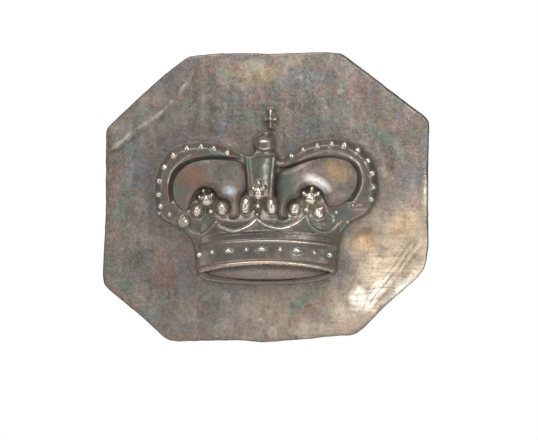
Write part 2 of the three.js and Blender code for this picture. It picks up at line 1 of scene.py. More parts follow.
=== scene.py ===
import json
import math
import bpy
import numpy as np
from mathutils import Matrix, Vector

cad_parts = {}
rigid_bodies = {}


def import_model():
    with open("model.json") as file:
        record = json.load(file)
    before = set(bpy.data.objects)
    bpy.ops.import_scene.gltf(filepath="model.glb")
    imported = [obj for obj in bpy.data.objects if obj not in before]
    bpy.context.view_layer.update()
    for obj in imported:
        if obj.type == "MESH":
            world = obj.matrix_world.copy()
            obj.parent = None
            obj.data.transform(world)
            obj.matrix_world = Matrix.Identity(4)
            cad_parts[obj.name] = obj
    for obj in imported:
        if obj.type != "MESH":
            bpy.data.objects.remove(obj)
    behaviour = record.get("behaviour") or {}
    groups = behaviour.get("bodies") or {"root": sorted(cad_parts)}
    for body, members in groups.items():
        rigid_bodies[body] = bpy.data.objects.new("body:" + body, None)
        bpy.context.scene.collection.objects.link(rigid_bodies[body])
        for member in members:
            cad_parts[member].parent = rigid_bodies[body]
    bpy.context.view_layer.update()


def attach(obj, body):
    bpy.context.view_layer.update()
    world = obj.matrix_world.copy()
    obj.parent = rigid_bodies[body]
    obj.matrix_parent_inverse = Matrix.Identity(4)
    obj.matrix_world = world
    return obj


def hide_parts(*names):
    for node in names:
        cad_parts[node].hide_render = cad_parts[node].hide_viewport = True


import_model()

MM = 0.001
PLATE_T = 0.8          # the front of the plate is at y = -PLATE_T, relief heights count from there

# ------------------------------------------------------------------ shape tables (x, z in mm)
PLATE = np.array([(-11.963, 21.549), (-8.282, 21.933), (-3.988, 22.086), (0.613, 21.933), (5.215, 22.086), (9.049, 22.193), (11.503, 22.009), (12.423, 21.472), (18.405, 16.871), (24.387, 12.347), (24.923, 11.503), (25, 10.583), (24.893, 5.675), (24.847, -1.994), (24.923, -7.362), (24.693, -9.663), (24.156, -11.196), (22.699, -12.883), (19.939, -15.261), (17.485, -17.561), (15.337, -19.785), (13.957, -20.859), (12.883, -21.166), (9.816, -21.396), (5.215, -21.856), (0.307, -22.239), (-3.988, -22.009), (-7.822, -21.933), (-13.19, -22.117), (-14.724, -22.025), (-15.491, -21.626), (-19.325, -18.098), (-23.926, -14.34), (-24.77, -13.344), (-25, -11.81), (-24.847, -8.129), (-24.617, -4.294), (-24.494, -0.46), (-24.54, 4.908), (-24.494, 9.969), (-24.233, 10.66), (-19.325, 15.337), (-15.491, 18.788)])
CROWN = np.array([(-10.89, -11.196), (-11.074, -9.279), (-11.503, -7.055), (-12.73, -5.521), (-14.724, -4.448), (-16.258, -3.374), (-16.948, -1.687), (-17.178, 0.307), (-17.025, 2.914), (-16.258, 5.215), (-14.724, 7.209), (-12.27, 8.282), (-9.663, 8.512), (-7.055, 8.129), (-4.601, 7.055), (-2.607, 6.135), (-1.534, 7.055), (-1.84, 8.282), (-1.534, 9.356), (-0.767, 9.816), (-1.074, 10.583), (-1.534, 11.656), (-1.227, 13.19), (-0.307, 13.957), (1.227, 13.957), (1.994, 13.037), (2.147, 11.656), (1.534, 10.429), (0.767, 9.816), (1.38, 9.202), (1.534, 8.129), (1.38, 7.055), (2.454, 6.135), (3.988, 7.209), (5.675, 8.206), (7.822, 8.819), (10.123, 9.049), (12.423, 8.742), (14.417, 7.822), (15.951, 6.288), (16.948, 4.448), (17.331, 2.301), (17.178, 0.153), (16.564, -1.534), (15.337, -2.914), (13.19, -4.141), (11.963, -5.521), (11.426, -7.055), (11.12, -9.202), (10.89, -11.503), (9.049, -12.653), (5.215, -13.267), (0, -13.42), (-5.215, -13.267), (-9.202, -12.73)])
CAP = np.array([(-10.89, -11.196), (-11.074, -9.279), (-11.503, -7.055), (-12.73, -5.521), (-14.724, -4.448), (-16.258, -3.374), (-16.948, -1.687), (-17.178, 0.307), (-17.025, 2.914), (-16.258, 5.215), (-14.724, 7.209), (-12.27, 8.282), (-9.663, 8.512), (-7.055, 8.129), (-4.601, 7.055), (-2.607, 6.135), (2.454, 6.135), (3.988, 7.209), (5.675, 8.206), (7.822, 8.819), (10.123, 9.049), (12.423, 8.742), (14.417, 7.822), (15.951, 6.288), (16.948, 4.448), (17.331, 2.301), (17.178, 0.153), (16.564, -1.534), (15.337, -2.914), (13.19, -4.141), (11.963, -5.521), (11.426, -7.055), (11.12, -9.202), (10.89, -11.503), (9.049, -12.653), (5.215, -13.267), (0, -13.42), (-5.215, -13.267), (-9.202, -12.73)])
VOID_LEFT = np.array([(-3.988, 5.215), (-5.828, 5.521), (-8.282, 5.675), (-10.276, 5.445), (-11.963, 4.831), (-13.19, 3.834), (-13.957, 2.607), (-14.187, 1.227), (-14.034, -0.153), (-13.497, -1.304), (-12.73, -1.917), (-11.963, -1.994), (-11.503, -0.767), (-10.89, 0.767), (-9.663, 1.534), (-8.129, 1.15), (-7.209, 0), (-5.752, -0.46), (-5.291, -1.687), (-5.675, -3.067), (-4.755, -3.298), (-3.988, -2.607), (-4.218, -1.074), (-3.834, 0.307), (-3.144, 1.227), (-3.144, 3.067), (-3.528, 4.448)])
VOID_RIGHT = np.array([(2.224, 3.834), (3.988, 4.448), (5.828, 5.215), (7.669, 5.752), (9.509, 6.058), (11.196, 5.905), (12.577, 5.368), (13.497, 4.371), (13.957, 3.067), (13.804, 1.687), (13.19, 0.46), (12.27, -0.537), (11.196, -1.15), (10.123, -1.38), (9.356, -1.227), (8.972, -0.153), (8.436, 1.15), (7.055, 1.84), (5.521, 1.227), (5.061, -0.077), (3.681, -0.46), (2.991, -1.687), (3.298, -3.067), (2.301, -3.374), (1.764, -2.607), (1.994, -1.227), (1.764, 0.153), (1.61, 1.38), (1.764, 2.607)])
MOUTH = np.array([(-9.509, -11.416), (-8.589, -11.231), (-7.669, -11.065), (-6.748, -10.917), (-5.828, -10.787), (-4.908, -10.676), (-3.988, -10.584), (-3.067, -10.51), (-2.147, -10.455), (-1.227, -10.419), (-0.307, -10.401), (0.613, -10.401), (1.534, -10.421), (2.454, -10.458), (3.374, -10.515), (4.294, -10.59), (5.215, -10.683), (6.135, -10.795), (7.055, -10.926), (7.975, -11.075), (8.896, -11.243), (9.816, -11.429), (9.509, -11.718), (8.589, -11.93), (7.669, -12.12), (6.748, -12.289), (5.828, -12.436), (4.908, -12.562), (3.988, -12.666), (3.067, -12.748), (2.147, -12.809), (1.227, -12.849), (0.307, -12.867), (-0.613, -12.863), (-1.534, -12.838), (-2.454, -12.791), (-3.374, -12.723), (-4.294, -12.633), (-5.215, -12.522), (-6.135, -12.389), (-7.055, -12.235), (-7.975, -12.059), (-8.896, -11.861)])
ARCH_LEFT_IN = np.array([(-2.914, 5.675), (-3.988, 5.982), (-6.288, 6.365), (-8.589, 6.518), (-10.736, 6.288), (-12.577, 5.675), (-13.957, 4.601), (-14.724, 3.221), (-15.031, 1.534), (-14.877, -0.153), (-14.417, -1.534)])
ARCH_LEFT_OUT = np.array([(-2.914, 6.135), (-4.601, 7.055), (-7.055, 8.129), (-9.663, 8.512), (-12.27, 8.282), (-14.724, 7.209), (-16.258, 5.215), (-17.025, 2.914), (-17.178, 0.307), (-16.871, -1.687), (-15.951, -3.067)])
ARCH_RIGHT_IN = np.array([(2.301, 4.448), (3.988, 5.261), (5.675, 5.982), (7.515, 6.549), (9.509, 6.902), (11.503, 6.718), (13.19, 6.135), (14.264, 5.061), (14.801, 3.528), (14.724, 1.84), (14.11, 0.46), (13.344, -0.613)])
ARCH_RIGHT_OUT = np.array([(2.301, 6.135), (3.988, 7.209), (5.675, 8.206), (7.822, 8.819), (10.123, 9.049), (12.423, 8.742), (14.417, 7.822), (15.951, 6.288), (16.948, 4.448), (17.331, 2.301), (17.178, 0.153), (16.564, -1.534), (15.337, -2.914)])
PEARLS_LEFT = [(-5.828, 6.825, 0.399), (-7.929, 7.408, 0.46), (-9.893, 7.699, 0.475), (-12.086, 7.439, 0.491), (-14.156, 6.319, 0.521), (-15.567, 4.525, 0.46), (-16.365, 2.408, 0.46), (-16.472, 0.337, 0.46), (-16.181, -1.457, 0.429)]
PEARLS_RIGHT = [(3.834, 6.288, 0.399), (5.675, 7.239, 0.429), (7.868, 7.822, 0.475), (10.077, 8.083, 0.475), (12.055, 7.991, 0.475), (14.11, 7.117, 0.506), (15.613, 5.521, 0.491), (16.288, 3.604, 0.491), (16.411, 1.534, 0.491), (16.181, -0.383, 0.46)]
ORN_C = {"petals": [(-1.12, 0.537, 0.828, 1.074), (-3.113, -1.426, 0.798, 1.227), (0.874, -1.534, 0.828, 1.227)], "beads": [(-1.12, 2.178, 0.399), (-1.948, 1.334, 0.368), (-0.353, 1.411, 0.383), (-1.227, -1.426, 0.445), (-1.319, -2.684, 0.307)]}
ORN_R = {"petals": [(6.779, -0.23, 0.951, 0.982), (4.387, -1.917, 0.859, 1.074), (8.006, -2.485, 0.859, 0.951)], "beads": [(6.994, 1.242, 0.368), (5.706, 0.613, 0.368), (7.975, 0.491, 0.368), (6.196, -1.948, 0.475), (8.589, -1.61, 0.276)]}
ORN_L = {"petals": [(-9.049, -0.537, 0.982, 0.92), (-10.506, -2.147, 0.859, 0.951), (-6.656, -1.779, 0.859, 1.104)], "beads": [(-9.54, 0.951, 0.337), (-10.153, 0, 0.337), (-8.252, 0.337, 0.353), (-8.405, -2.255, 0.445), (-6.825, -0.966, 0.276)]}
KNOBS = [(-12.577, -3.758, 1.074), (-16.334, -2.485, 0.399), (-14.739, -2.745, 0.399), (-12.5, -3.252, 0.337), (10.736, -2.362, 0.368), (10.383, -3.666, 0.337), (12.5, -3.865, 0.337), (13.313, -1.319, 0.337)]
SWAGS = [[(-12.27, -4.448), (-11.35, -5.368), (-10.123, -5.752), (-8.896, -5.215), (-7.669, -3.758)], [(-7.669, -3.758), (-6.902, -4.678), (-4.908, -5.261), (-2.914, -4.601), (-1.35, -3.313)], [(-1.35, -3.313), (-0.153, -4.294), (2.147, -4.847), (4.448, -4.141), (6.196, -2.807)], [(6.196, -2.807), (6.902, -4.448), (8.436, -5.368), (10.123, -5.138), (11.503, -3.834)]]
JEWELS = [(-5.675, -8.252, 0.644, 0.368), (-0.613, -8.006, 0.706, 0.383), (4.755, -8.221, 0.644, 0.368), (-10.276, -8.896, 0.399, 0.337), (9.816, -8.896, 0.399, 0.337), (-8.236, -8.466, 0.291, 0.291), (-2.991, -8.037, 0.291, 0.291), (2.178, -8.021, 0.291, 0.291), (7.408, -8.497, 0.291, 0.291)]
ORB = (-0.077, 8.052, 1.411)
CROSS = (0.69, 11.887)
CREASES = [([(-23.006, 7.669), (-21.779, 8.589), (-20.475, 9.939), (-17.485, 11.687), (-15.982, 12.929), (-13.988, 14.923), (-13.067, 16.258), (-11.656, 18.098)], 0.14, 0.42), ([(5.138, 18.865), (5.061, 16.411), (5.138, 13.65)], 0.022, 0.35), ([(-3.834, 17.025), (-3.528, 14.877), (-3.374, 12.73)], 0.018, 0.35), ([(-1.994, -15.798), (-2.224, -17.638), (-2.301, -19.785)], 0.022, 0.3)]
SCRATCHES = []
S = 0.153374                     # one unit of the row scale used below, in mm
MID_X, HALF_X = 0.123, 10.966


def X_(u): return (u - 266.0) * S
def Z_(v): return (197.0 - v) * S


# ------------------------------------------------------------------ numeric helpers
def smooth(a):
    a = np.clip(a, 0.0, 1.0)
    return a * a * (3 - 2 * a)


def smax(a, b, k):
    h = np.clip(0.5 + 0.5 * (a - b) / k, 0, 1)
    return b * (1 - h) + a * h + k * h * (1 - h)


def catmull(p, n=8, closed=False):
    p = np.asarray(p, float)
    m = len(p)
    out = []
    last = m if closed else m - 1
    t = np.linspace(0, 1, n, endpoint=False)[:, None]
    for i in range(last):
        if closed:
            a, b, c, d = p[(i - 1) % m], p[i], p[(i + 1) % m], p[(i + 2) % m]
        else:
            a, b, c, d = p[max(i - 1, 0)], p[i], p[i + 1], p[min(i + 2, m - 1)]
        out.append(0.5 * (2 * b + (c - a) * t + (2 * a - 5 * b + 4 * c - d) * t ** 2 + (3 * b - a - 3 * c + d) * t ** 3))
    if not closed:
        out.append(p[-1:])
    return np.concatenate(out)


def chaikin(p, rounds=1, cut=0.12):
    for _ in range(rounds):
        q = np.roll(p, -1, 0)
        p = np.stack([p * (1 - cut) + q * cut, p * cut + q * (1 - cut)], 1).reshape(-1, 2)
    return p


def resample(p, step, closed=True):
    q = np.vstack([p, p[:1]]) if closed else p
    d = np.r_[0, np.cumsum(np.hypot(*np.diff(q, axis=0).T))]
    n = max(8, int(round(d[-1] / step)))
    at = np.linspace(0, d[-1], n, endpoint=not closed)
    return np.stack([np.interp(at, d, q[:, 0]), np.interp(at, d, q[:, 1])], 1)


def nearest(x, z, line, closed):
    """Distance, nearest point, arc length and side (+ left of travel) of points to a polyline."""
    p = np.stack([np.ravel(x), np.ravel(z)], 1)
    a = line
    b = np.roll(line, -1, 0) if closed else line[1:]
    a = a if closed else line[:-1]
    ab = b - a
    ll = np.maximum((ab ** 2).sum(1), 1e-12)
    start = np.r_[0, np.cumsum(np.sqrt(ll))][:-1]
    dist = np.empty(len(p)); near = np.empty((len(p), 2)); arc = np.empty(len(p)); side = np.empty(len(p))
    # points in square tiles: only the segments that can be nearest to a tile are measured
    size = 1.6
    ti = np.floor(p / size).astype(np.int64)
    key = ti[:, 0] * 100003 + ti[:, 1]
    order = np.argsort(key, kind="stable")
    cuts = np.flatnonzero(np.diff(key[order])) + 1
    for r in np.split(order, cuts):
        q = p[r]
        lo, hi = q.min(0), q.max(0)
        c, reach = (lo + hi) / 2, 0.5 * np.hypot(*(hi - lo))
        t = np.clip(((c - a) * ab).sum(1) / ll, 0, 1)
        dc = np.hypot(*(c - a - t[:, None] * ab).T)
        s = np.flatnonzero(dc <= dc.min() + 2 * reach + 1e-9)
        aa, bb, l2 = a[s], ab[s], ll[s]
        apx, apz = q[:, :1] - aa[:, 0], q[:, 1:] - aa[:, 1]
        t = np.clip((apx * bb[:, 0] + apz * bb[:, 1]) / l2, 0, 1)
        dd = (apx - t * bb[:, 0]) ** 2 + (apz - t * bb[:, 1]) ** 2
        k = dd.argmin(1)
        n = np.arange(len(q))
        tk = t[n, k]
        dist[r] = np.sqrt(dd[n, k])
        near[r] = aa[k] + tk[:, None] * bb[k]
        arc[r] = start[s[k]] + tk * np.sqrt(l2[k])
        side[r] = np.sign(bb[k, 0] * apz[n, k] - bb[k, 1] * apx[n, k])
    shape = np.shape(x)
    return dist.reshape(shape), near, arc.reshape(shape), side.reshape(shape)


def inside(x, z, poly):
    xs, zs = np.ravel(x), np.ravel(z)
    order = np.argsort(zs, kind="stable")
    xo, zo = xs[order], zs[order]
    hit = np.zeros(len(xs), bool)
    for (ax, az), (bx, bz) in zip(poly, np.roll(poly, -1, 0)):
        if az == bz:
            continue
        i, j = np.searchsorted(zo, (min(az, bz), max(az, bz)), side="left")
        if j > i:
            hit[i:j] ^= xo[i:j] < (bx - ax) * (zo[i:j] - az) / (bz - az) + ax
    out = np.empty(len(xs), bool)
    out[order] = hit
    return out.reshape(np.shape(x))


def signed(x, z, poly):
    """Distance to a closed outline, positive inside."""
    d = nearest(x, z, poly, True)[0]
    return np.where(inside(x, z, poly), d, -d)


_tables = {}


def noise(x, z, cell, seed):
    """Smooth value noise, -1 to 1, with features about one cell wide, in mm."""
    if seed not in _tables:
        _tables[seed] = np.random.default_rng(seed).uniform(-1, 1, (256, 256))
    t = _tables[seed]
    u, v = np.asarray(x) / cell + 91.7, np.asarray(z) / cell + 57.3
    i, j = np.floor(u).astype(int), np.floor(v).astype(int)
    fu, fv = u - i, v - j
    fu, fv = fu * fu * fu * (fu * (fu * 6 - 15) + 10), fv * fv * fv * (fv * (fv * 6 - 15) + 10)
    g = lambda a, b: t[a % 256, b % 256]
    return (g(i, j) * (1 - fu) + g(i + 1, j) * fu) * (1 - fv) + (g(i, j + 1) * (1 - fu) + g(i + 1, j + 1) * fu) * fv


def fbm(x, z, cell, seed, octaves=4, gain=0.5):
    total, amp, norm = 0.0, 1.0, 0.0
    for k in range(octaves):
        total = total + amp * noise(x, z, cell / 2 ** k, seed + k)
        norm += amp
        amp *= gain
    return total / norm


def blur(a, sigma):
    r = int(3 * sigma) + 1
    k = np.exp(-0.5 * (np.arange(-r, r + 1) / sigma) ** 2)
    k /= k.sum()
    pad = np.pad(a, r, mode="edge")
    pad = np.apply_along_axis(lambda m: np.convolve(m, k, mode="valid"), 1, pad)
    return np.apply_along_axis(lambda m: np.convolve(m, k, mode="valid"), 0, pad)


def blob(x, z, cx, cz, rx, rz, angle=0.0, power=2.0):
    c, s = math.cos(math.radians(angle)), math.sin(math.radians(angle))
    dx, dz = x - cx, z - cz
    u, v = (dx * c + dz * s) / rx, (-dx * s + dz * c) / rz
    return np.exp(-((u * u + v * v) ** (power / 2)))


# ------------------------------------------------------------------ mesh helpers
def new_mesh(name, verts, faces, attrs=None, smooth_shade=True):
    mesh = bpy.data.meshes.new(name)
    mesh.from_pydata([tuple(v) for v in (np.asarray(verts) * MM).tolist()], [], [tuple(f) for f in faces])
    mesh.validate()
    for key, values in (attrs or {}).items():
        a = mesh.attributes.new(key, "FLOAT", "POINT")
        a.data.foreach_set("value", np.asarray(values, np.float32))
    if smooth_shade:
        mesh.polygons.foreach_set("use_smooth", [True] * len(mesh.polygons))
    mesh.update()
    ob = bpy.data.objects.new(name, mesh)
    bpy.context.scene.collection.objects.link(ob)
    return ob


def height_shell(name, outlines, step, front, back, rim=3, bulge=0.0, keep_side=1.0, attrs=None):
    """A closed shell between two height fields. outlines: the outer outline, then the holes.
    front, back: functions of x, z that give heights above the plate's front."""
    lo, hi = outlines[0].min(0) - 2 * step, outlines[0].max(0) + 2 * step
    xs, zs = np.arange(lo[0], hi[0], step), np.arange(lo[1], hi[1], step)
    X, Z = np.meshgrid(xs, zs)
    sd = signed(X, Z, outlines[0])
    for h in outlines[1:]:
        sd = np.minimum(sd, -signed(X, Z, h))
    keep = sd > -0.42 * step
    F = keep[:-1, :-1] & keep[1:, :-1] & keep[:-1, 1:] & keep[1:, 1:]
    for _ in range(6):      # no two quads may meet at a corner only
        a, b, c, d = F[:-1, :-1], F[1:, 1:], F[1:, :-1], F[:-1, 1:]
        bad = (a & b & ~c & ~d) | (~a & ~b & c & d)
        if not bad.any():
            break
        F[:-1, :-1][bad] = False
        F[1:, 1:][bad] = False
        F[1:, :-1][bad] = False
        F[:-1, 1:][bad] = False
    nz, nx = X.shape
    vid = np.arange(nz * nx).reshape(nz, nx)
    q = np.stack([vid[:-1, :-1][F], vid[:-1, 1:][F], vid[1:, 1:][F], vid[1:, :-1][F]], 1)
    used, inv = np.unique(q, return_inverse=True)
    q = inv.reshape(q.shape)
    x, z = X.ravel()[used].copy(), Z.ravel()[used].copy()
    e = np.concatenate([q[:, [0, 1]], q[:, [1, 2]], q[:, [2, 3]], q[:, [3, 0]]])
    n = len(used)
    code, back_code = e[:, 0].astype(np.int64) * n + e[:, 1], e[:, 1].astype(np.int64) * n + e[:, 0]
    border = e[~np.isin(code, back_code)]
    bv = np.unique(border)
    best = np.full(len(bv), 1e9)
    px, pz = x[bv].copy(), z[bv].copy()
    for line in outlines:
        d, near, _, _ = nearest(x[bv], z[bv], line, True)
        m = d < best
        best[m] = d[m]
        px[m], pz[m] = near[m, 0], near[m, 1]
    x[bv], z[bv] = px, pz
    hf, hb = front(x, z), back(x, z)
    hb = np.minimum(hb, hf - 0.12)
    verts = [np.stack([x, -(PLATE_T + hf), z], 1), np.stack([x, -(PLATE_T + hb), z], 1)]
    faces = [q.tolist(), (q[:, ::-1] + n).tolist()]
    # outward direction on the border, from the edges themselves
    out = np.zeros((n, 2))
    dx, dz = x[border[:, 1]] - x[border[:, 0]], z[border[:, 1]] - z[border[:, 0]]
    l = np.maximum(np.hypot(dx, dz), 1e-9)
    for col, val in ((0, dz / l), (1, -dx / l)):
        np.add.at(out[:, col], border[:, 0], val)
        np.add.at(out[:, col], border[:, 1], val)
    out /= np.maximum(np.hypot(out[:, 0], out[:, 1]), 1e-9)[:, None]
    index = np.full(n, -1)
    index[bv] = np.arange(len(bv))
    rings = [bv]
    total = 2 * n
    for k in range(1, rim + 1):
        t = k / (rim + 1)
        w = bulge * math.sin(math.pi * t)
        h = hf[bv] * (1 - t) + hb[bv] * t
        verts.append(np.stack([x[bv] + out[bv, 0] * w, -(PLATE_T + h), z[bv] + out[bv, 1] * w], 1))
        rings.append(np.arange(total, total + len(bv)))
        total += len(bv)
    rings.append(bv + n)
    ia, ib = index[border[:, 0]], index[border[:, 1]]
    for r0, r1 in zip(rings[:-1], rings[1:]):
        faces.append(np.stack([r0[ib], r0[ia], r1[ia], r1[ib]], 1).tolist())
    verts = np.concatenate(verts)
    faces = [f for group in faces for f in group]
    values = {}
    for key, fn in (attrs or {}).items():
        v = fn(x, z)
        values[key] = np.concatenate([v, v] + [v[bv]] * rim)
    side = np.concatenate([np.zeros(n), np.ones(n)] + [np.full(len(bv), 0.5)] * rim)
    values["behind"] = side
    return new_mesh(name, verts, faces, values)


def field_on_grid(fn, x0, x1, z0, z1, step):
    """Samples fn once on a grid, and gives back a lookup with bilinear reading."""
    xs, zs = np.arange(x0, x1, step), np.arange(z0, z1, step)
    X, Z = np.meshgrid(xs, zs)
    values = fn(X, Z)

    def read(values):
        def at(x, z):
            u = np.clip((np.asarray(x) - x0) / step, 0, len(xs) - 1.001)
            v = np.clip((np.asarray(z) - z0) / step, 0, len(zs) - 1.001)
            i, j = u.astype(int), v.astype(int)
            fu, fv = u - i, v - j
            return ((values[j, i] * (1 - fu) + values[j, i + 1] * fu) * (1 - fv)
                    + (values[j + 1, i] * (1 - fu) + values[j + 1, i + 1] * fu) * fv)
        return at
    return values, read, X, Z


def sweep(name, centers, sides, fronts, section, cap=True):
    """A closed skin: section (w, d) carried along centers with two directions at each."""
    n, m = len(centers), len(section)
    verts = []
    for c, s, f in zip(centers, sides, fronts):
        for w, d in section:
            verts.append(np.asarray(c) + np.asarray(s) * w + np.asarray(f) * d)
    faces = []
    for i in range(n - 1):
        for j in range(m):
            a, b = i * m + j, i * m + (j + 1) % m
            faces.append((a, b, b + m, a + m))
    if cap:
        for end, flip in ((0, True), (n - 1, False)):
            k = len(verts)
            verts.append(np.mean(verts[end * m:(end + 1) * m], 0))
            for j in range(m):
                a, b = end * m + j, end * m + (j + 1) % m
                faces.append((b, a, k) if flip else (a, b, k))
    verts = np.array(verts)
    # outward faces
    v = 0.0
    for f in faces:
        p = verts[list(f)]
        for t in range(1, len(f) - 1):
            v += np.dot(p[0], np.cross(p[t], p[t + 1]))
    if v < 0:
        faces = [tuple(reversed(f)) for f in faces]
    return verts, faces


# ------------------------------------------------------------------ crown: height of the struck relief
CROSS_SHAPE = []
for _k in range(4):
    _c, _s = math.cos(_k * math.pi / 2), math.sin(_k * math.pi / 2)
    _len = [1.10, 1.72, 1.10, 1.55][_k]
    for _x, _z in [(0.24, -0.24), (_len * 0.70, -0.38), (_len * 0.94, -0.72), (_len, 0), (_len * 0.94, 0.72), (_len * 0.70, 0.38), (0.24, 0.24)]:
        CROSS_SHAPE.append((CROSS[0] + _x * _c - _z * _s, CROSS[1] + _x * _s + _z * _c))
CROSS_SHAPE = np.array(CROSS_SHAPE)


def with_cross(line):
    """The traced outline, with its topmost part exchanged for the flared cross on its short neck."""
    cut = Z_(131.8)
    top = line[:, 1] > cut
    k = next(i for i in range(len(line)) if top[i] and not top[i - 1])
    line = np.roll(line, -k, 0)
    n = 1
    while line[n, 1] > cut:
        n += 1
    rest = line[n:]
    arms = (CROSS_SHAPE - CROSS) * 1.12 + CROSS
    path = np.vstack([[(X_(268.6), Z_(131.2))], arms[25:28], arms[:21], arms[21:24], [(X_(264.2), Z_(131.2))]])
    if rest[-1][0] < rest[0][0]:
        path = path[::-1]
    return np.vstack([path, rest])


CROWN_LINE = resample(catmull(with_cross(CROWN), 6, True), 0.12)
VOID_L = resample(catmull(VOID_LEFT, 5, True), 0.12)
VOID_R = resample(catmull(VOID_RIGHT, 5, True), 0.12)
MOUTH_LINE = resample(MOUTH, 0.12)
CAP_LINE = resample(catmull(CAP, 5, True), 0.15)


def arch_parts(inner, outer):
    a, b = resample(catmull(inner, 8), 0.05, False), resample(catmull(outer, 8), 0.05, False)
    t = np.linspace(0, 1, 160)
    pick = lambda p: np.stack([np.interp(t, np.linspace(0, 1, len(p)), p[:, k]) for k in (0, 1)], 1)
    a, b = pick(a), pick(b)
    return (a + b) / 2, np.hypot(*(b - a).T) / 2


def arch_band(x, z, mid, half, crest, outer_side):
    d, _, arc, side = nearest(x, z, mid, False)
    length = np.r_[0, np.cumsum(np.hypot(*np.diff(mid, axis=0).T))]
    t = arc / length[-1]
    w = np.interp(arc, length, half)
    s = d * side * outer_side / w
    lift = crest * (0.84 + 0.16 * np.sin(np.pi * np.clip(t * 1.12, 0, 1)))
    lift = lift * (1 - 0.35 * smooth((t - 0.9) / 0.1)) * (1 - 0.2 * smooth((0.06 - t) / 0.06))
    prof = np.interp(s, [-1.9, -1.42, -1.2, -1.08, -1.0, -0.92, -0.8, -0.5, 0.0, 0.4, 0.7, 0.88, 1.0, 1.15, 1.4],
                     [0.2, 0.45, 0.64, 0.80, 0.93, 0.95, 0.92, 0.93, 0.95, 0.92, 0.85, 0.77, 0.65, 0.40, 0.1])
    on_end = (t > 0.0) & (t < 1.0) | (d < w * 0.9)
    return np.where(on_end, lift * prof, 0.0), s, t, lift


ARCH_L = arch_parts(ARCH_LEFT_IN, ARCH_LEFT_OUT)
ARCH_R = arch_parts(ARCH_RIGHT_IN, ARCH_RIGHT_OUT)


def row_of(x, z):
    """Level on the circlet, on the unrolled scale, and position across it (-1 to 1)."""
    v = 197.0 - z / S
    cm = MID_X + (263.8 - v) * 0.10 * S
    u = np.clip((x - cm) / HALF_X, -1.25, 1.25)
    return (v + 22.547 * u * u) / (1 + 0.118 * u * u), u


def circlet_field(x, z):
    v, u = row_of(x, z)
    swell = np.clip(1 - np.abs(u) ** 2.3, 0, 1) ** 0.6
    share = np.interp(v, [205, 212, 216, 220, 226, 231, 238.2, 240, 242.4, 244.5, 246.2, 257.6, 259.2, 260.2, 264, 266],
                      [0.05, 0.30, 0.45, 0.58, 0.70, 0.80, 0.885, 0.965, 0.965, 0.90, 0.885, 0.885, 0.91, 0.975, 0.985, 0.95])
    h = 0.62 + 2.72 * swell * share
    g = lambda c, w: np.exp(-((v - c) / w) ** 2)
    near_front = np.clip(1.25 - np.abs(u) ** 3 * 1.1, 0, 1)
    h = h + near_front * (0.20 * g(240.9, 1.15) + 0.055 * g(243.9, 0.6) - 0.05 * g(238.3, 0.7)
                          + 0.075 * g(231.4, 0.62) + 0.075 * g(234.5, 0.62) + 0.075 * g(237.2, 0.55)
                          + 0.30 * g(262.1, 1.7) - 0.06 * g(258.6, 0.8) + 0.035 * g(257.3, 0.5)
                          - 0.05 * g(264.8, 0.5))
    h = np.where(v < 205, 0.0, h)
    return h, v, u


def dome(h, x, z, cx, cz, rx, rz, base, top, angle=0.0, k=0.05, power=0.5):
    """Lays a dome over the field h."""
    m = (np.abs(x - cx) < max(rx, rz) * 1.6) & (np.abs(z - cz) < max(rx, rz) * 1.6)
    c, s = math.cos(math.radians(angle)), math.sin(math.radians(angle))
    dx, dz = x[m] - cx, z[m] - cz
    rho = ((dx * c + dz * s) / rx) ** 2 + ((-dx * s + dz * c) / rz) ** 2
    body = base + (top - base) * np.clip(1 - rho, 0, 1) ** power
    body = np.where(rho < 1, body, base - 2.0 * (np.sqrt(rho) - 1))
    h[m] = smax(h[m], body, k)
    return h


def groove(h, x, z, cx, cz, rx, rz, depth, width=0.12, at=1.1, angle=0.0):
    m = (np.abs(x - cx) < max(rx, rz) * 1.7) & (np.abs(z - cz) < max(rx, rz) * 1.7)
    c, s = math.cos(math.radians(angle)), math.sin(math.radians(angle))
    dx, dz = x[m] - cx, z[m] - cz
    rho = np.sqrt(((dx * c + dz * s) / rx) ** 2 + ((-dx * s + dz * c) / rz) ** 2)
    h[m] = h[m] - depth * np.exp(-((rho - at) / width) ** 2)
    return h


def at_point(h, x, z, cx, cz, r=0.25):
    m = (np.abs(x - cx) < r) & (np.abs(z - cz) < r)
    return float(np.median(h[m])) if m.any() else 1.0


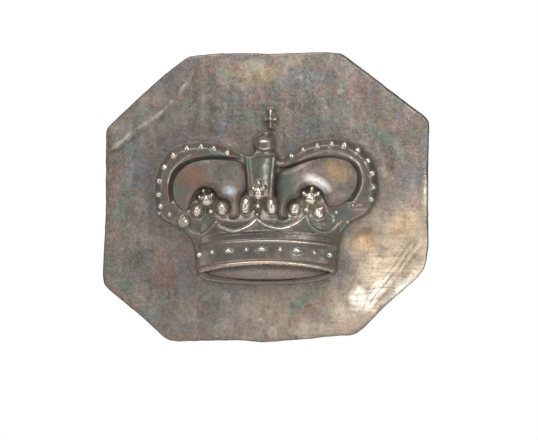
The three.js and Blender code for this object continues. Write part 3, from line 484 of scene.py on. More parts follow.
def crown_field(X, Z):
    shape = X.shape
    x, z = X.ravel(), Z.ravel()
    d_out = signed(x, z, CROWN_LINE)
    d_void = np.minimum(-signed(x, z, VOID_L), -signed(x, z, VOID_R))
    h = 0.06 + 0.64 * smooth((d_out + 0.02) / 0.85)
    # circlet and skirt
    hc, v, u = circlet_field(x, z)
    side_fade = smooth((d_out + 0.03) / 0.55)
    h = smax(h, hc * (0.14 + 0.86 * side_fade) * (d_out > -0.4), 0.10)
    # shoulders: the ground between the crosses and the feet of the arches
    shoulder = 0.95 + 0.45 * blob(x, z, X_(178), Z_(214), 2.6, 1.7) + 0.45 * blob(x, z, X_(350), Z_(211), 2.8, 1.7)
    h = smax(h, shoulder * smooth(d_out / 0.6) * smooth((v - 192) / 10), 0.1)
    # side arches
    for (mid, half), crest, side in ((ARCH_L, 1.85, 1), (ARCH_R, 2.0, 1)):
        sgn = 1 if mid is ARCH_L[0] else -1
        band, s, t, lift = arch_band(x, z, mid, half, crest, -sgn)
        m = v < 226
        h = np.where(m, smax(h, band * smooth((d_out + 0.06) / 1.35) ** 0.7, 0.08), h)
    # middle arch
    vv = 197.0 - z / S
    t = np.clip((vv - 150) / 45.0, 0, 1)
    w = (17.3 - 5.0 * t ** 0.8) * S
    s = (x - X_(260.8)) / w
    mid = 1.35 + 0.95 * t - 0.42 * s ** 2 - 0.20 * s ** 4
    mid = mid + 0.09 * np.exp(-((np.abs(s) - 0.88) / 0.08) ** 2) - 0.03 * np.exp(-((np.abs(s) - 0.72) / 0.07) ** 2)
    mid = mid - 1.4 * smooth((np.abs(s) - 0.95) / 0.5) - 1.3 * smooth((154.0 - vv) / 9.0) - 2.0 * smooth((vv - 196) / 6)
    h = smax(h, mid, 0.08)
    # small boss where the arches meet under the orb
    h = dome(h, x, z, X_(262), Z_(154), 2.1, 0.62, 1.2, 1.95, k=0.12)
    # orb with its two bands, and a short neck
    h = dome(h, x, z, ORB[0], ORB[1], ORB[2] * 1.16, ORB[2] * 1.02, 0.85, 2.55, k=0.08)
    m = ((x - ORB[0]) / (ORB[2] * 1.16)) ** 2 + ((z - ORB[1]) / (ORB[2] * 1.02)) ** 2 < 0.98
    sagging = 0.22 * ((x - ORB[0]) / ORB[2]) ** 2
    for zz, amp in ((Z_(141.8), 0.20), (Z_(149.4), 0.18)):
        h = h + m * amp * np.exp(-((z - zz - sagging) / 0.13) ** 2)
    h = h - m * 0.06 * np.exp(-((z - Z_(145.6) - sagging) / 0.28) ** 2)
    h = dome(h, x, z, X_(266.3), Z_(133.2), 0.62, 0.75, 0.6, 1.45, k=0.06)
    # cross
    dc = signed(x, z, CROSS_SHAPE)
    tip = z > Z_(131.5)
    h = np.where(tip, np.minimum(h, 0.10 + 0.22 * smooth(d_out / 0.5)), h)
    arm = 0.25 + 0.95 * smooth((dc + 0.12) / 0.36) - 0.12 * smooth((dc - 0.18) / 0.2)
    h = np.where(dc > -0.25, smax(h, arm, 0.06), h)
    h = dome(h, x, z, CROSS[0], CROSS[1], 0.42, 0.42, 1.0, 1.85, k=0.05)
    for ax, az in ((0.0, 1.25), (0.74, 0.0), (-0.74, 0.0), (0.0, -1.15)):
        h = dome(h, x, z, CROSS[0] + ax, CROSS[1] + az, 0.30, 0.30, 0.9, 1.45, k=0.05)
    # pearls on the side arches
    for pearls, lift in ((PEARLS_LEFT, 0.30), (PEARLS_RIGHT, 0.32)):
        for px, pz, r in pearls:
            base = at_point(h, x, z, px, pz, 0.16)
            h = groove(h, x, z, px, pz, r, r, 0.07, 0.16, 1.18)
            h = dome(h, x, z, px, pz, r, r, base - 0.10, base + lift, k=0.03)
    # swags, their cord following the swell of the circlet
    for line in SWAGS:
        d = nearest(x, z, catmull(line, 8), False)[0]
        near_end = np.ones_like(x)
        h = h + 0.23 * np.exp(-(d / 0.155) ** 2) * near_end - 0.05 * np.exp(-((d - 0.34) / 0.12) ** 2)
    # jewels, each in a low collar
    for jx, jz, rx, rz in JEWELS:
        base = at_point(h, x, z, jx, jz, 0.12)
        h = groove(h, x, z, jx, jz, rx * 1.15, rz * 1.25, 0.07, 0.16, 1.18)
        h = dome(h, x, z, jx, jz, rx, rz, base - 0.02, base + (0.34 if rx > 0.5 else 0.28), k=0.03)
    # cross ornaments
    for orn, top in ((ORN_C, 2.95), (ORN_R, 2.7), (ORN_L, 2.5)):
        cx, cz = orn["beads"][3][:2]
        ground = np.maximum.reduce([blob(x, z, p[0], p[1], p[2] * 1.25, p[3] * 1.15, power=4) for p in orn["petals"]])
        h = smax(h, (top - 0.95) * smooth(ground * 1.6), 0.15)
        for k, (px, pz, rx, rz) in enumerate(orn["petals"]):
            tilt = [0, -6, 6][k]
            h = groove(h, x, z, px, pz, rx, rz, 0.12, 0.12, 1.16, tilt)
            h = dome(h, x, z, px, pz, rx, rz, top - 0.95, top - 0.08, tilt, k=0.04, power=0.6)
            h = groove(h, x, z, px, pz, rx, rz, 0.10, 0.11, 0.66, tilt)
            mm = ((x - px) / rx) ** 2 + ((z - pz) / rz) ** 2 < 1.0
            h = h + mm * (0.07 * noise(x, z, 0.26, 141) - 0.10 * np.exp(-((x - px) / 0.10) ** 2) * (z < pz + 0.2 * rz))
        for bx, bz, r in orn["beads"]:
            big = (bx, bz) == (cx, cz)
            lvl = top - (0.28 if big else 0.42)
            h = groove(h, x, z, bx, bz, r, r, 0.08, 0.18, 1.22)
            h = dome(h, x, z, bx, bz, r, r, lvl - 0.35, lvl + (0.34 if big else 0.26), k=0.03)
    # knobs and beads at the feet of the arches
    for kx, kz, r in KNOBS:
        base = min(at_point(h, x, z, kx, kz, 0.2), 1.9)
        h = groove(h, x, z, kx, kz, r, r, 0.10, 0.14, 1.16)
        h = dome(h, x, z, kx, kz, r, r, base - 0.12, base + 0.24 + 0.28 * (r > 0.8), k=0.04)
    # two small ties running from the right foot to the arch, and one on the left
    for line in TIES:
        d = nearest(x, z, catmull(line, 6), False)[0]
        h = h + 0.14 * np.exp(-(d / 0.15) ** 2)
    # rolled edges along the openings, and soft flanks all round
    roll = (1 - smooth((d_void + 0.02) / 0.36)) * (d_void < 1.0)
    h = np.where(h > 1.5, h - (h - 1.5) * 0.60 * roll, h)
    # struck metal is never quite even
    h = h + 0.022 * fbm(x, z, 0.9, 11, 3) + 0.012 * fbm(x, z, 0.32, 17, 2)
    # bottom border below the mouth
    strip = smooth((v - 262) / 3) * (0.20 + 0.56 * np.sqrt(np.clip(1 - (1 - np.clip(d_out / 0.24, 0, 1)) ** 2, 0, 1)))
    below = inside(x, z, MOUTH_LOW)
    h = np.where(below, strip, h)
    return h.reshape(shape)


MOUTH_LOW = np.array([(-9.509, -11.524), (-8.589, -11.339), (-7.669, -11.172), (-6.748, -11.024), (-5.828, -10.895), (-4.908, -10.784), (-3.988, -10.691), (-3.067, -10.618), (-2.147, -10.563), (-1.227, -10.526), (-0.307, -10.508), (0.613, -10.509), (1.534, -10.528), (2.454, -10.566), (3.374, -10.622), (4.294, -10.697), (5.215, -10.791), (6.135, -10.903), (7.055, -11.033), (7.975, -11.182), (8.896, -11.35), (9.816, -11.537), (10.736, -12.117), (9.049, -13.344), (0, -13.804), (-9.202, -13.344), (-10.736, -12.117)])
TIES = [[(13.236, -1.58), (14.417, -1.35), (15.644, -1.135)], [(-11.304, -3.436), (-10.429, -3.604), (-9.555, -3.88)]]

G0 = (CROWN[:, 0].min() - 1.5, CROWN[:, 0].max() + 1.5, CROWN[:, 1].min() - 1.5, CROWN[:, 1].max() + 1.5, 0.07)
crown_h, _read, GX, GZ = field_on_grid(crown_field, *G0)
crown_h = 0.25 * crown_h + 0.75 * blur(crown_h, 1.15)      # worn smooth by handling
crown_at = _read(crown_h)
SD_CROWN, SD_LEFT, SD_RIGHT = (signed(GX, GZ, line) for line in (CROWN_LINE, VOID_L, VOID_R))
# how far the relief stands out of its surroundings, at two widths: wear on what is proud, dirt in what is not
_mask = ((SD_CROWN > 0.05) & (SD_LEFT < -0.05) & (SD_RIGHT < -0.05)).astype(float)


def proud(sigma):
    around = blur(crown_h * _mask, sigma) / np.maximum(blur(_mask, sigma), 1e-3)
    return _read(np.where(_mask > 0, crown_h - around, 0.0))


proud_fine, proud_wide = proud(3.0), proud(9.0)
_calm = np.ones_like(GX)
for _mid_line, _half in (ARCH_L, ARCH_R):
    _d = nearest(GX, GZ, _mid_line, False)[0]
    _calm = np.minimum(_calm, 1 - 0.85 * smooth((1.35 - _d / _half.mean()) / 0.35) * (GZ > Z_(212)))
calm = _read(_calm)
# painted highlights: bright spots on the pearls, knobs, jewels, petals, beads, cross and orb bands, and bright lines
# along the cords, the top moulding, the rim and the inner edges of the arches
_painted_glint = np.zeros_like(GX)
for _px, _pz, _rx, _rz, _k in ([(a, b, r * 0.85, r * 0.85, 0.8) for a, b, r in PEARLS_LEFT + PEARLS_RIGHT]
                               + [(a, b, r * 0.7, r * 0.7, 0.4) for a, b, r in KNOBS] + [(*j, 0.85) for j in JEWELS]
                               + [(a, b, c * 1.12, d * 1.12, k) for o, k in ((ORN_C, 1.0), (ORN_R, 1.6), (ORN_L, 0.7)) for a, b, c, d in o["petals"]]
                               + [(a, b, r * 1.25, r * 1.25, k) for o, k in ((ORN_C, 1.0), (ORN_R, 1.3), (ORN_L, 0.8)) for a, b, r in o["beads"]]
                               + [(CROSS[0] + 0.1, CROSS[1] + 0.9, 0.55, 0.95, 1.5), (CROSS[0] + 0.55, CROSS[1] - 0.5, 0.6, 0.8, 1.6),
                                  (ORB[0] - 0.35, ORB[1] + 0.40, 0.75, 0.20, 1.0), (ORB[0] - 0.1, ORB[1] - 0.75, 0.75, 0.20, 0.85)]):
    _painted_glint = np.maximum(_painted_glint, _k * np.exp(-((((GX - _px) / _rx) ** 2 + ((GZ - _pz) / _rz) ** 2) / 0.9) ** 2))
_v, _u = row_of(GX, GZ)
_mid = np.exp(-((GX - X_(282)) / 6.0) ** 4)
_painted_glint = np.maximum(_painted_glint, 0.55 * _mid * np.exp(-((_v - 240.9) / 0.9) ** 2))
_painted_glint = np.maximum(_painted_glint, 0.50 * np.exp(-((GX - X_(276)) / 7.5) ** 4) * np.exp(-((_v - 262.0) / 1.1) ** 2))
for _line in SWAGS:
    _d = nearest(GX, GZ, catmull(_line, 8), False)[0]
    _painted_glint = np.maximum(_painted_glint, 0.8 * np.exp(-(_d / 0.15) ** 2) * np.clip(1.15 - np.abs(GX - X_(264)) / 8.0, 0.15, 1))
for _line, _k in (([(295, 164), (305, 157.5), (318, 153), (330, 151), (345, 154), (356.5, 162.5), (362, 175), (361.5, 187), (354, 202)], 0.50),
                  ([(168.7, 183), (170, 175), (175, 167), (182.5, 160), (191, 155)], 0.60)):
    _d = nearest(GX, GZ, catmull(np.array([(X_(a), Z_(b)) for a, b in _line]), 8), False)[0]
    _painted_glint = np.maximum(_painted_glint, _k * np.exp(-(_d / 0.13) ** 2))
painted_glint = _read(_painted_glint)
edge_map = _read(np.minimum.reduce([SD_CROWN, -SD_LEFT, -SD_RIGHT]))
mouth_map = _read(-signed(GX, GZ, MOUTH_LINE))

WALL = 0.55


def crown_back(x, z):
    """Hollow behind: the wall follows the front, and stands on the plate along the edges."""
    wall = np.maximum(crown_at(x, z) - WALL, 0.0)
    rise = smooth((edge_map(x, z) - 0.42) / 0.4)
    low = smooth((Z_(271) - z) / 0.3 + 0.0)
    return np.where(inside(x, z, MOUTH_LOW), 0.02, wall * rise)


crown = height_shell(
    "crown_frame_struck", [CROWN_LINE, VOID_L, VOID_R, MOUTH_LINE], 0.118, crown_at, crown_back, rim=3, bulge=0.03,
    attrs={"fine": proud_fine, "wide": proud_wide, "painted_glint": painted_glint, "rim": edge_map, "calm": calm})
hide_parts("crown_frame")
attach(crown, "badge")

# ------------------------------------------------------------------ cap lining: two swelling lobes in front of a thin sheet
LOBES = [(-8.436, -0.92, 5.828, 6.135, 0.1, 1.55), (3.374, -0.307, 6.902, 6.135, -0.02, 1.7)]


def lining_field(X, Z):
    x, z = X.ravel(), Z.ravel()
    h = np.full(x.shape, 0.30)
    for (cx, cz, rx, rz, lean, top), void in zip(LOBES, (VOID_L, VOID_R)):
        u, w = (x - cx) / rx, (z - cz) / rz
        rho = u * u + w * w
        skew = np.clip(1 + lean * u, 0.3, 2)
        swell = np.exp(-1.15 * rho ** 1.25) * skew
        d = signed(x, z, void)
        lobe = 0.3 + 1.15 * smooth((d + 0.30) / 0.24) + (top - 0.55) * swell * smooth((d + 0.42) / 1.2) ** 0.8
        folds = 0.035 * np.sin(np.arctan2(w, u + 0.15) * 9 + 1.3 * noise(x, z, 1.4, 41)) * smooth((rho - 0.25) / 0.5)
        h = np.maximum(h, np.where(d > -0.32, lobe + folds * smooth(d / 0.5) * smooth((d + 0.1) / 0.6), 0.30))
    return (h + 0.018 * fbm(x, z, 1.1, 43, 3)).reshape(X.shape)


lin_h, _read2, LX, LZ = field_on_grid(lining_field, *G0)
lining_at = _read2(lin_h)
lin_fine = _read2(lin_h - blur(lin_h, 4.0))
near_void = _read2(np.maximum(SD_LEFT, SD_RIGHT))
CAP_IN = resample(CAP_LINE, 0.2)
_n = np.roll(CAP_IN, -1, 0) - np.roll(CAP_IN, 1, 0)
_n /= np.hypot(*_n.T)[:, None]
_area = 0.5 * np.sum(CAP_IN[:, 0] * np.roll(CAP_IN[:, 1], -1) - np.roll(CAP_IN[:, 0], -1) * CAP_IN[:, 1])
CAP_IN = CAP_IN + 0.72 * np.sign(_area) * np.stack([-_n[:, 1], _n[:, 0]], 1)
lining = height_shell(
    "cap_lining_lobes", [CAP_IN], 0.14, lining_at, lambda x, z: np.maximum(lining_at(x, z) - 0.26, 0.04), rim=1,
    attrs={"fine": lin_fine, "wide": near_void})
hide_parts("crown_cap_lining")
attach(lining, "badge")

# ------------------------------------------------------------------ face plate: hand-cut sheet, creased and a little bent
PLATE_LINE = resample(chaikin(PLATE, 1, 0.10), 0.25)
_arc = np.arange(len(PLATE_LINE)) * 0.25
_n = np.roll(PLATE_LINE, -1, 0) - np.roll(PLATE_LINE, 1, 0)
_n /= np.hypot(*_n.T)[:, None]
_jag = 0.035 * noise(_arc, _arc * 0, 0.9, 61) + 0.05 * noise(_arc, _arc * 0, 3.5, 62)
PLATE_LINE = PLATE_LINE + _jag[:, None] * np.stack([-_n[:, 1], _n[:, 0]], 1)
CUT_A, CUT_B = (X_(428.5), Z_(245)), (X_(366), Z_(326))     # the lower right cut edge


def corner(x, z):
    """0 on the flat of the plate, up to 1 at the lower right cut edge, and the distance along that edge."""
    ax, az = CUT_A
    bx, bz = CUT_B
    l = math.hypot(bx - ax, bz - az)
    tx, tz = (bx - ax) / l, (bz - az) / l
    across = (x - ax) * -tz + (z - az) * tx        # + towards the middle of the plate
    if (0 - ax) * -tz + (0 - az) * tx < 0:
        across = -across
    return across, (x - ax) * tx + (z - az) * tz, l


def plate_field(X, Z):
    x, z = X.ravel(), Z.ravel()
    d_crown = -signed(x, z, CROWN_LINE)
    off = smooth(d_crown / 2.5)
    h = off * (0.22 * fbm(x, z, 9.0, 71, 2) + 0.07 * fbm(x, z, 3.4, 75, 2) + 0.016 * fbm(x, z, 1.1, 79, 2))
    # ripples thrown up by the striking, running up and down past the crown
    h = h + off * 0.035 * noise(x * 1.0, z * 0.16, 1.5, 81) * blob(x, z, 0, 0, 22, 30, power=4)
    # creases
    for line, amp, width in CREASES:
        d, _, _, side = nearest(x, z, catmull(np.array(line), 8), False)
        amp = amp * (0.55 + 0.45 * noise(x, z, 1.3, 85))
        h = h + amp * np.exp(-(d / width) ** 2) + 0.5 * amp * side * np.exp(-(d / (3.0 * width)) ** 2)
    # the lower right corner is bent back, away from the front, with ripples along the cut
    across, along, l = corner(x, z)
    bend = smooth((7.5 - across) / 7.5) * blob(x, z, X_(405), Z_(285), 12, 12, power=3)
    h = h - 0.62 * bend ** 1.3
    rip = np.exp(-((across - 1.9) / 1.7) ** 2) * smooth((along + 1.5) / 3) * smooth((l + 0.5 - along) / 3)
    h = h + rip * 0.022 * (np.sin((across + 0.35 * noise(along * 0.5, across, 2.2, 91)) * 2 * np.pi / 0.9) + noise(along * 0.12, across, 0.33, 92))
    h = h + 0.16 * blob(x, z, X_(358), Z_(299), 1.9, 2.6, 35) - 0.10 * blob(x, z, X_(350), Z_(303), 1.6, 2.4, 35)
    h = h + 0.10 * blob(x, z, X_(392), Z_(232), 4.5, 2.0, 35) - 0.06 * blob(x, z, X_(385), Z_(246), 4.5, 2.0, 35)
    h = h + 0.12 * blob(x, z, X_(426), Z_(196), 0.9, 3.0) + 0.05 * blob(x, z, X_(303), Z_(332), 2.2, 0.8)
    # dished towards the crown, as a struck sheet is, and dressed edges
    h = h + 0.07 * np.exp(-(np.clip(d_crown, 0, None) / 0.8) ** 1.5) * (d_crown > -0.2)
    return h.reshape(X.shape)


P0 = (PLATE[:, 0].min() - 1.0, PLATE[:, 0].max() + 1.0, PLATE[:, 1].min() - 1.0, PLATE[:, 1].max() + 1.0, 0.15)
plate_h, _read3, PX, PZ = field_on_grid(plate_field, *P0)
plate_base = _read3(plate_h)
plate_fine = _read3(plate_h - blur(plate_h, 4.0))
_pe = signed(PX, PZ, PLATE_LINE)
plate_edge = _read3(_pe)
_pc = -signed(PX, PZ, CROWN_LINE)
crown_near = _read3(_pc)


def plate_front(x, z):
    e = np.clip(plate_edge(x, z), 0, 1)
    return plate_base(x, z) - 0.16 * np.clip(1 - e / 0.22, 0, 1) ** 2


def plate_back(x, z):
    e = np.clip(plate_edge(x, z), 0, 1)
    seat = smooth((np.maximum(np.abs(x) / 12.5, np.abs(z) / 8.5) - 1) / 0.5)
    return -PLATE_T + (plate_base(x, z) * 0.8 + 0.0) * seat + 0.10 * np.clip(1 - e / 0.22, 0, 1) ** 2


plate = height_shell(
    "face_plate_sheet", [PLATE_LINE], 0.21, plate_front, plate_back, rim=3, bulge=0.05,
    attrs={"fine": plate_fine, "edge": plate_edge, "near": crown_near})
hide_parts("face_plate")
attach(plate, "badge")

# ------------------------------------------------------------------ fixings on the back
LUG_X, LUG_R, LUG_HALF, LUG_SHANK = 10.0, 0.6, 1.7, 5.6


def lug_mesh(name, x, seed):
    rng = np.random.default_rng(seed)
    path = [(LUG_HALF, y, 0.0) for y in np.linspace(0.05, LUG_SHANK, 14)]
    path += [(LUG_HALF * math.cos(a), LUG_SHANK + LUG_HALF * math.sin(a), a) for a in np.linspace(0, math.pi, 33)[1:-1]]
    path += [(-LUG_HALF, y, math.pi) for y in np.linspace(LUG_SHANK, 0.05, 14)]
    centers, sides, fronts = [], [], []
    for z, y, a in path:
        centers.append((x, y, z))
        sides.append((1, 0, 0))
        fronts.append((0, math.sin(a), math.cos(a)))
    k = np.linspace(0, 2 * math.pi, 24, endpoint=False)
    verts, faces = sweep(name, centers, sides, fronts, [(LUG_R * math.cos(a), LUG_R * math.sin(a)) for a in k])
    # draw marks and small dents in the wire
    mid = np.repeat(np.array(centers), 24, 0)
    v = verts[:len(mid)]
    d = v - mid
    wob = 1 + 0.018 * noise(v[:, 1] * 1.3 + v[:, 2], np.tile(k, len(centers)) * 1.2, 0.8, 300 + seed)
    verts[:len(mid)] = mid + d * wob[:, None]
    wear = np.zeros(len(verts))
    wear[:len(mid)] = np.clip(1 - np.abs(mid[:, 1] - 7.0) / 1.2, 0, 1) * (d[:, 1] < 0)
    near_plate = np.clip(1 - verts[:, 1] / 1.6, 0, 1)
    return new_mesh(name, verts, faces, {"wear": wear, "low": near_plate})


def braze_mesh(name, x, seed):
    """One puddle of braze round both feet: a surface of two cones run together."""
    n_r, n_a = 20, 64
    angles = np.linspace(0, 2 * math.pi, n_a, endpoint=False)
    def outline(a):
        # distance from the middle of the lug to the edge of the puddle
        dx, dz = math.cos(a), math.sin(a)
        best = 0.0
        for r in np.linspace(0.6, 3.4, 113):
            px, pz = dx * r, dz * r
            d = min(math.hypot(px, pz - LUG_HALF), math.hypot(px, pz + LUG_HALF))
            e = min(abs(px) / 0.62, 1.0)
            if d < 1.32 or (abs(px) < 0.62 and abs(pz) < LUG_HALF):
                best = r
        return best + 0.10 * float(noise(a * 1.9, seed * 3.1, 0.7, 400 + seed)) + 0.04
    rim = np.array([outline(a) for a in angles])
    verts, faces, wear = [], [], []
    for i in range(n_r + 1):
        t = i / n_r
        for j, a in enumerate(angles):
            r = rim[j] * (1 - t)
            px, pz = r * math.cos(a), r * math.sin(a)
            d = min(math.hypot(px, pz - LUG_HALF), math.hypot(px, pz + LUG_HALF))
            climb = 0.95 * math.exp(-((max(d - 0.55, 0)) / 0.36) ** 1.2)
            edge = min(1.0, t * 5.0)
            y = 0.05 + (0.10 + climb) * math.sqrt(edge) * (1 + 0.10 * float(noise(px * 1.0, pz * 1.0, 0.5, 420 + seed)))
            verts.append((x + px, y, pz))
            wear.append(0.0)
    for i in range(n_r):
        for j in range(n_a):
            a, b = i * n_a + j, i * n_a + (j + 1) % n_a
            faces.append((a, b, b + n_a, a + n_a))
    k0 = len(verts)      # flat underside on the plate
    for j, a in enumerate(angles):
        verts.append((x + rim[j] * 0.985 * math.cos(a), 0.006, rim[j] * 0.985 * math.sin(a)))
    verts.append((x, 0.006, 0.0))
    c = len(verts) - 1
    for j in range(n_a):
        b = (j + 1) % n_a
        faces.append((k0 + j, k0 + b, b, j))
        faces.append((c, k0 + b, k0 + j))
    top = n_r * n_a
    verts = np.array(verts)
    # close the middle: the last ring has shrunk to a point
    keep = list(range(top)) + [top]
    remap = {i: i for i in range(top)}
    for j in range(n_a):
        remap[top + j] = top
    for i in range(k0, len(verts)):
        remap[i] = i - n_a + 1
    verts = np.concatenate([verts[:top + 1], verts[k0:]])
    out = []
    for f in faces:
        g = []
        for i in f:
            r = remap[i]
            if not g or g[-1] != r:
                g.append(r)
        if len(g) > 1 and g[0] == g[-1]:
            g.pop()
        if len(g) >= 3:
            out.append(tuple(g))
    v = 0.0
    for f in out:
        p = verts[list(f)]
        for t in range(1, len(f) - 1):
            v += np.dot(p[0], np.cross(p[t], p[t + 1]))
    if v < 0:
        out = [tuple(reversed(f)) for f in out]
    return new_mesh(name, verts, out, {"wear": np.zeros(len(verts)), "low": np.clip(1 - verts[:, 1] / 0.6, 0, 1)})


def peg_mesh(name, x, z, seed):
    """A copper peg whose end is hammered over on the back of the plate."""
    prof = [(0.0, -1.10), (0.34, -1.10), (0.46, -1.06), (0.5, -0.98), (0.5, 0.02), (0.9, 0.03), (1.04, 0.07), (1.10, 0.16),
            (1.06, 0.26), (0.94, 0.35), (0.72, 0.42), (0.45, 0.46), (0.2, 0.475), (0.0, 0.48)]
    n = 40
    verts, faces = [(x, prof[0][1], z)], []
    for i, (r, y) in enumerate(prof[1:-1]):
        for k in range(n):
            a = 2 * math.pi * k / n
            head = y > 0.01
            rr = r * (1 + (0.05 * float(noise(math.cos(a) * 1.2 + seed, math.sin(a) * 1.2, 0.8, 500 + seed)) if head else 0))
            px, pz = rr * math.cos(a), rr * math.sin(a)
            dent = 0.05 * float(noise(px, pz, 0.42, 520 + seed)) if y > 0.2 else 0
            verts.append((x + px, y + dent, z + pz))
    verts.append((x, prof[-1][1], z))
    m = len(prof) - 2
    for k in range(n):
        faces.append((0, 1 + (k + 1) % n, 1 + k))
        for i in range(m - 1):
            a, b = 1 + i * n + k, 1 + i * n + (k + 1) % n
            faces.append((a, b, b + n, a + n))
        a, b = 1 + (m - 1) * n + k, 1 + (m - 1) * n + (k + 1) % n
        faces.append((a, b, len(verts) - 1))
    verts = np.array(verts, float)
    v = 0.0
    for f in faces:
        p = verts[list(f)]
        for t in range(1, len(f) - 1):
            v += np.dot(p[0], np.cross(p[t], p[t + 1]))
    if v < 0:
        faces = [tuple(reversed(f)) for f in faces]
    return new_mesh(name, verts, faces, {"wear": np.clip((verts[:, 1] - 0.3) / 0.15, 0, 1), "low": np.clip(1 - verts[:, 1] / 0.25, 0, 1)})


def pin_mesh(name):
    """Split pin: one half-round wire doubled on itself round an eye."""
    R, split, pin_y, tip, neck, eye = 0.85, 0.15, 5.7, -16.0, 12.6, 1.75
    section = []
    for k in range(13):
        a = math.pi * k / 12
        section.append((R * math.cos(a), (R - split) * math.sin(a)))
    for w in (-0.6, -0.3, 0.0, 0.3, 0.6):      # the flat, a little rounded at its corners
        section.append((w * R * 1.25, -0.012 * math.cos(w * 2)))
    section = section[:13] + [s for s in section[13:]]
    cx = neck + eye * 1.25
    start = math.pi - math.asin(split / eye) - 0.42
    pts = []
    for x in np.linspace(tip, neck - 1.2, 40):
        pts.append((x, split, 0.0, 1.0))
    ring = [(cx + eye * 0.78 * math.cos(a), eye * 0.78 * math.sin(a), math.cos(a), math.sin(a)) for a in np.linspace(start, -start, 41)]
    # ease the legs into the eye
    a0, r0 = pts[-1], ring[0]
    for t in np.linspace(0, 1, 8)[1:-1]:
        u = t * t * (3 - 2 * t)
        x = a0[0] + (r0[0] - a0[0]) * t
        zz = a0[1] + (r0[1] - a0[1]) * u
        nx, nz = a0[2] * (1 - u) + r0[2] * u, a0[3] * (1 - u) + r0[3] * u
        l = math.hypot(nx, nz)
        pts.append((x, zz, nx / l, nz / l))
    pts += ring
    for p in reversed(pts[:len(pts) - len(ring)]):
        pts.append((p[0], -p[1], p[2], -p[3]))
    last = []
    for i, p in enumerate(pts):
        if i >= len(pts) - 40 and p[0] < tip + 1.4:
            continue
        last.append(p)
    pts = last
    centers, sides, fronts = [], [], []
    for x, z, nx, nz in pts:
        centers.append((x, pin_y, z))
        sides.append((0, 1, 0))
        fronts.append((nx, 0, nz))
    verts, faces = sweep(name, centers, sides, fronts, section)
    m = len(section)
    # tips: rounded off, and the long one dressed to a blunt point
    for end, sign in ((0, 1), (len(centers) - 1, -1)):
        for ring_i, scale in ((0, 0.72), (1, 0.93)):
            i = end + sign * ring_i
            c = np.mean(verts[i * m:(i + 1) * m], 0)
            verts[i * m:(i + 1) * m] = c + (verts[i * m:(i + 1) * m] - c) * np.array([1, scale, scale])
    centres = np.repeat(np.array(centers), m, 0)
    wear = np.zeros(len(verts))
    for lx in (-LUG_X, LUG_X):
        wear[:len(centres)] = np.maximum(wear[:len(centres)], np.exp(-((verts[:len(centres), 0] - lx) / 0.9) ** 2))
    eye_part = np.clip((verts[:, 0] - neck) / 1.5, 0, 1)
    return new_mesh(name, verts, faces, {"wear": np.maximum(wear * 0.8, eye_part * 0.35), "low": np.zeros(len(verts))})


for side, sx, seed in (("left", -1, 1), ("right", 1, 2)):
    lug = lug_mesh("lug_%s_wire" % side, sx * LUG_X, seed)
    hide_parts("lug_" + side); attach(lug, "badge")
    bz = braze_mesh("lug_%s_braze_fillet" % side, sx * LUG_X, seed)
    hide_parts("lug_braze_" + side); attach(bz, "badge")
for side, px, pz, seed in (("left", -14.2, -3.0, 1), ("right", 12.9, -2.4, 2)):
    pg = peg_mesh("peg_%s_hammered" % side, px, pz, seed)
    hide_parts("crown_peg_" + side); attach(pg, "badge")
pin = pin_mesh("cotter_pin_wire")
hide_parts("cotter_pin"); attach(pin, "cotter")


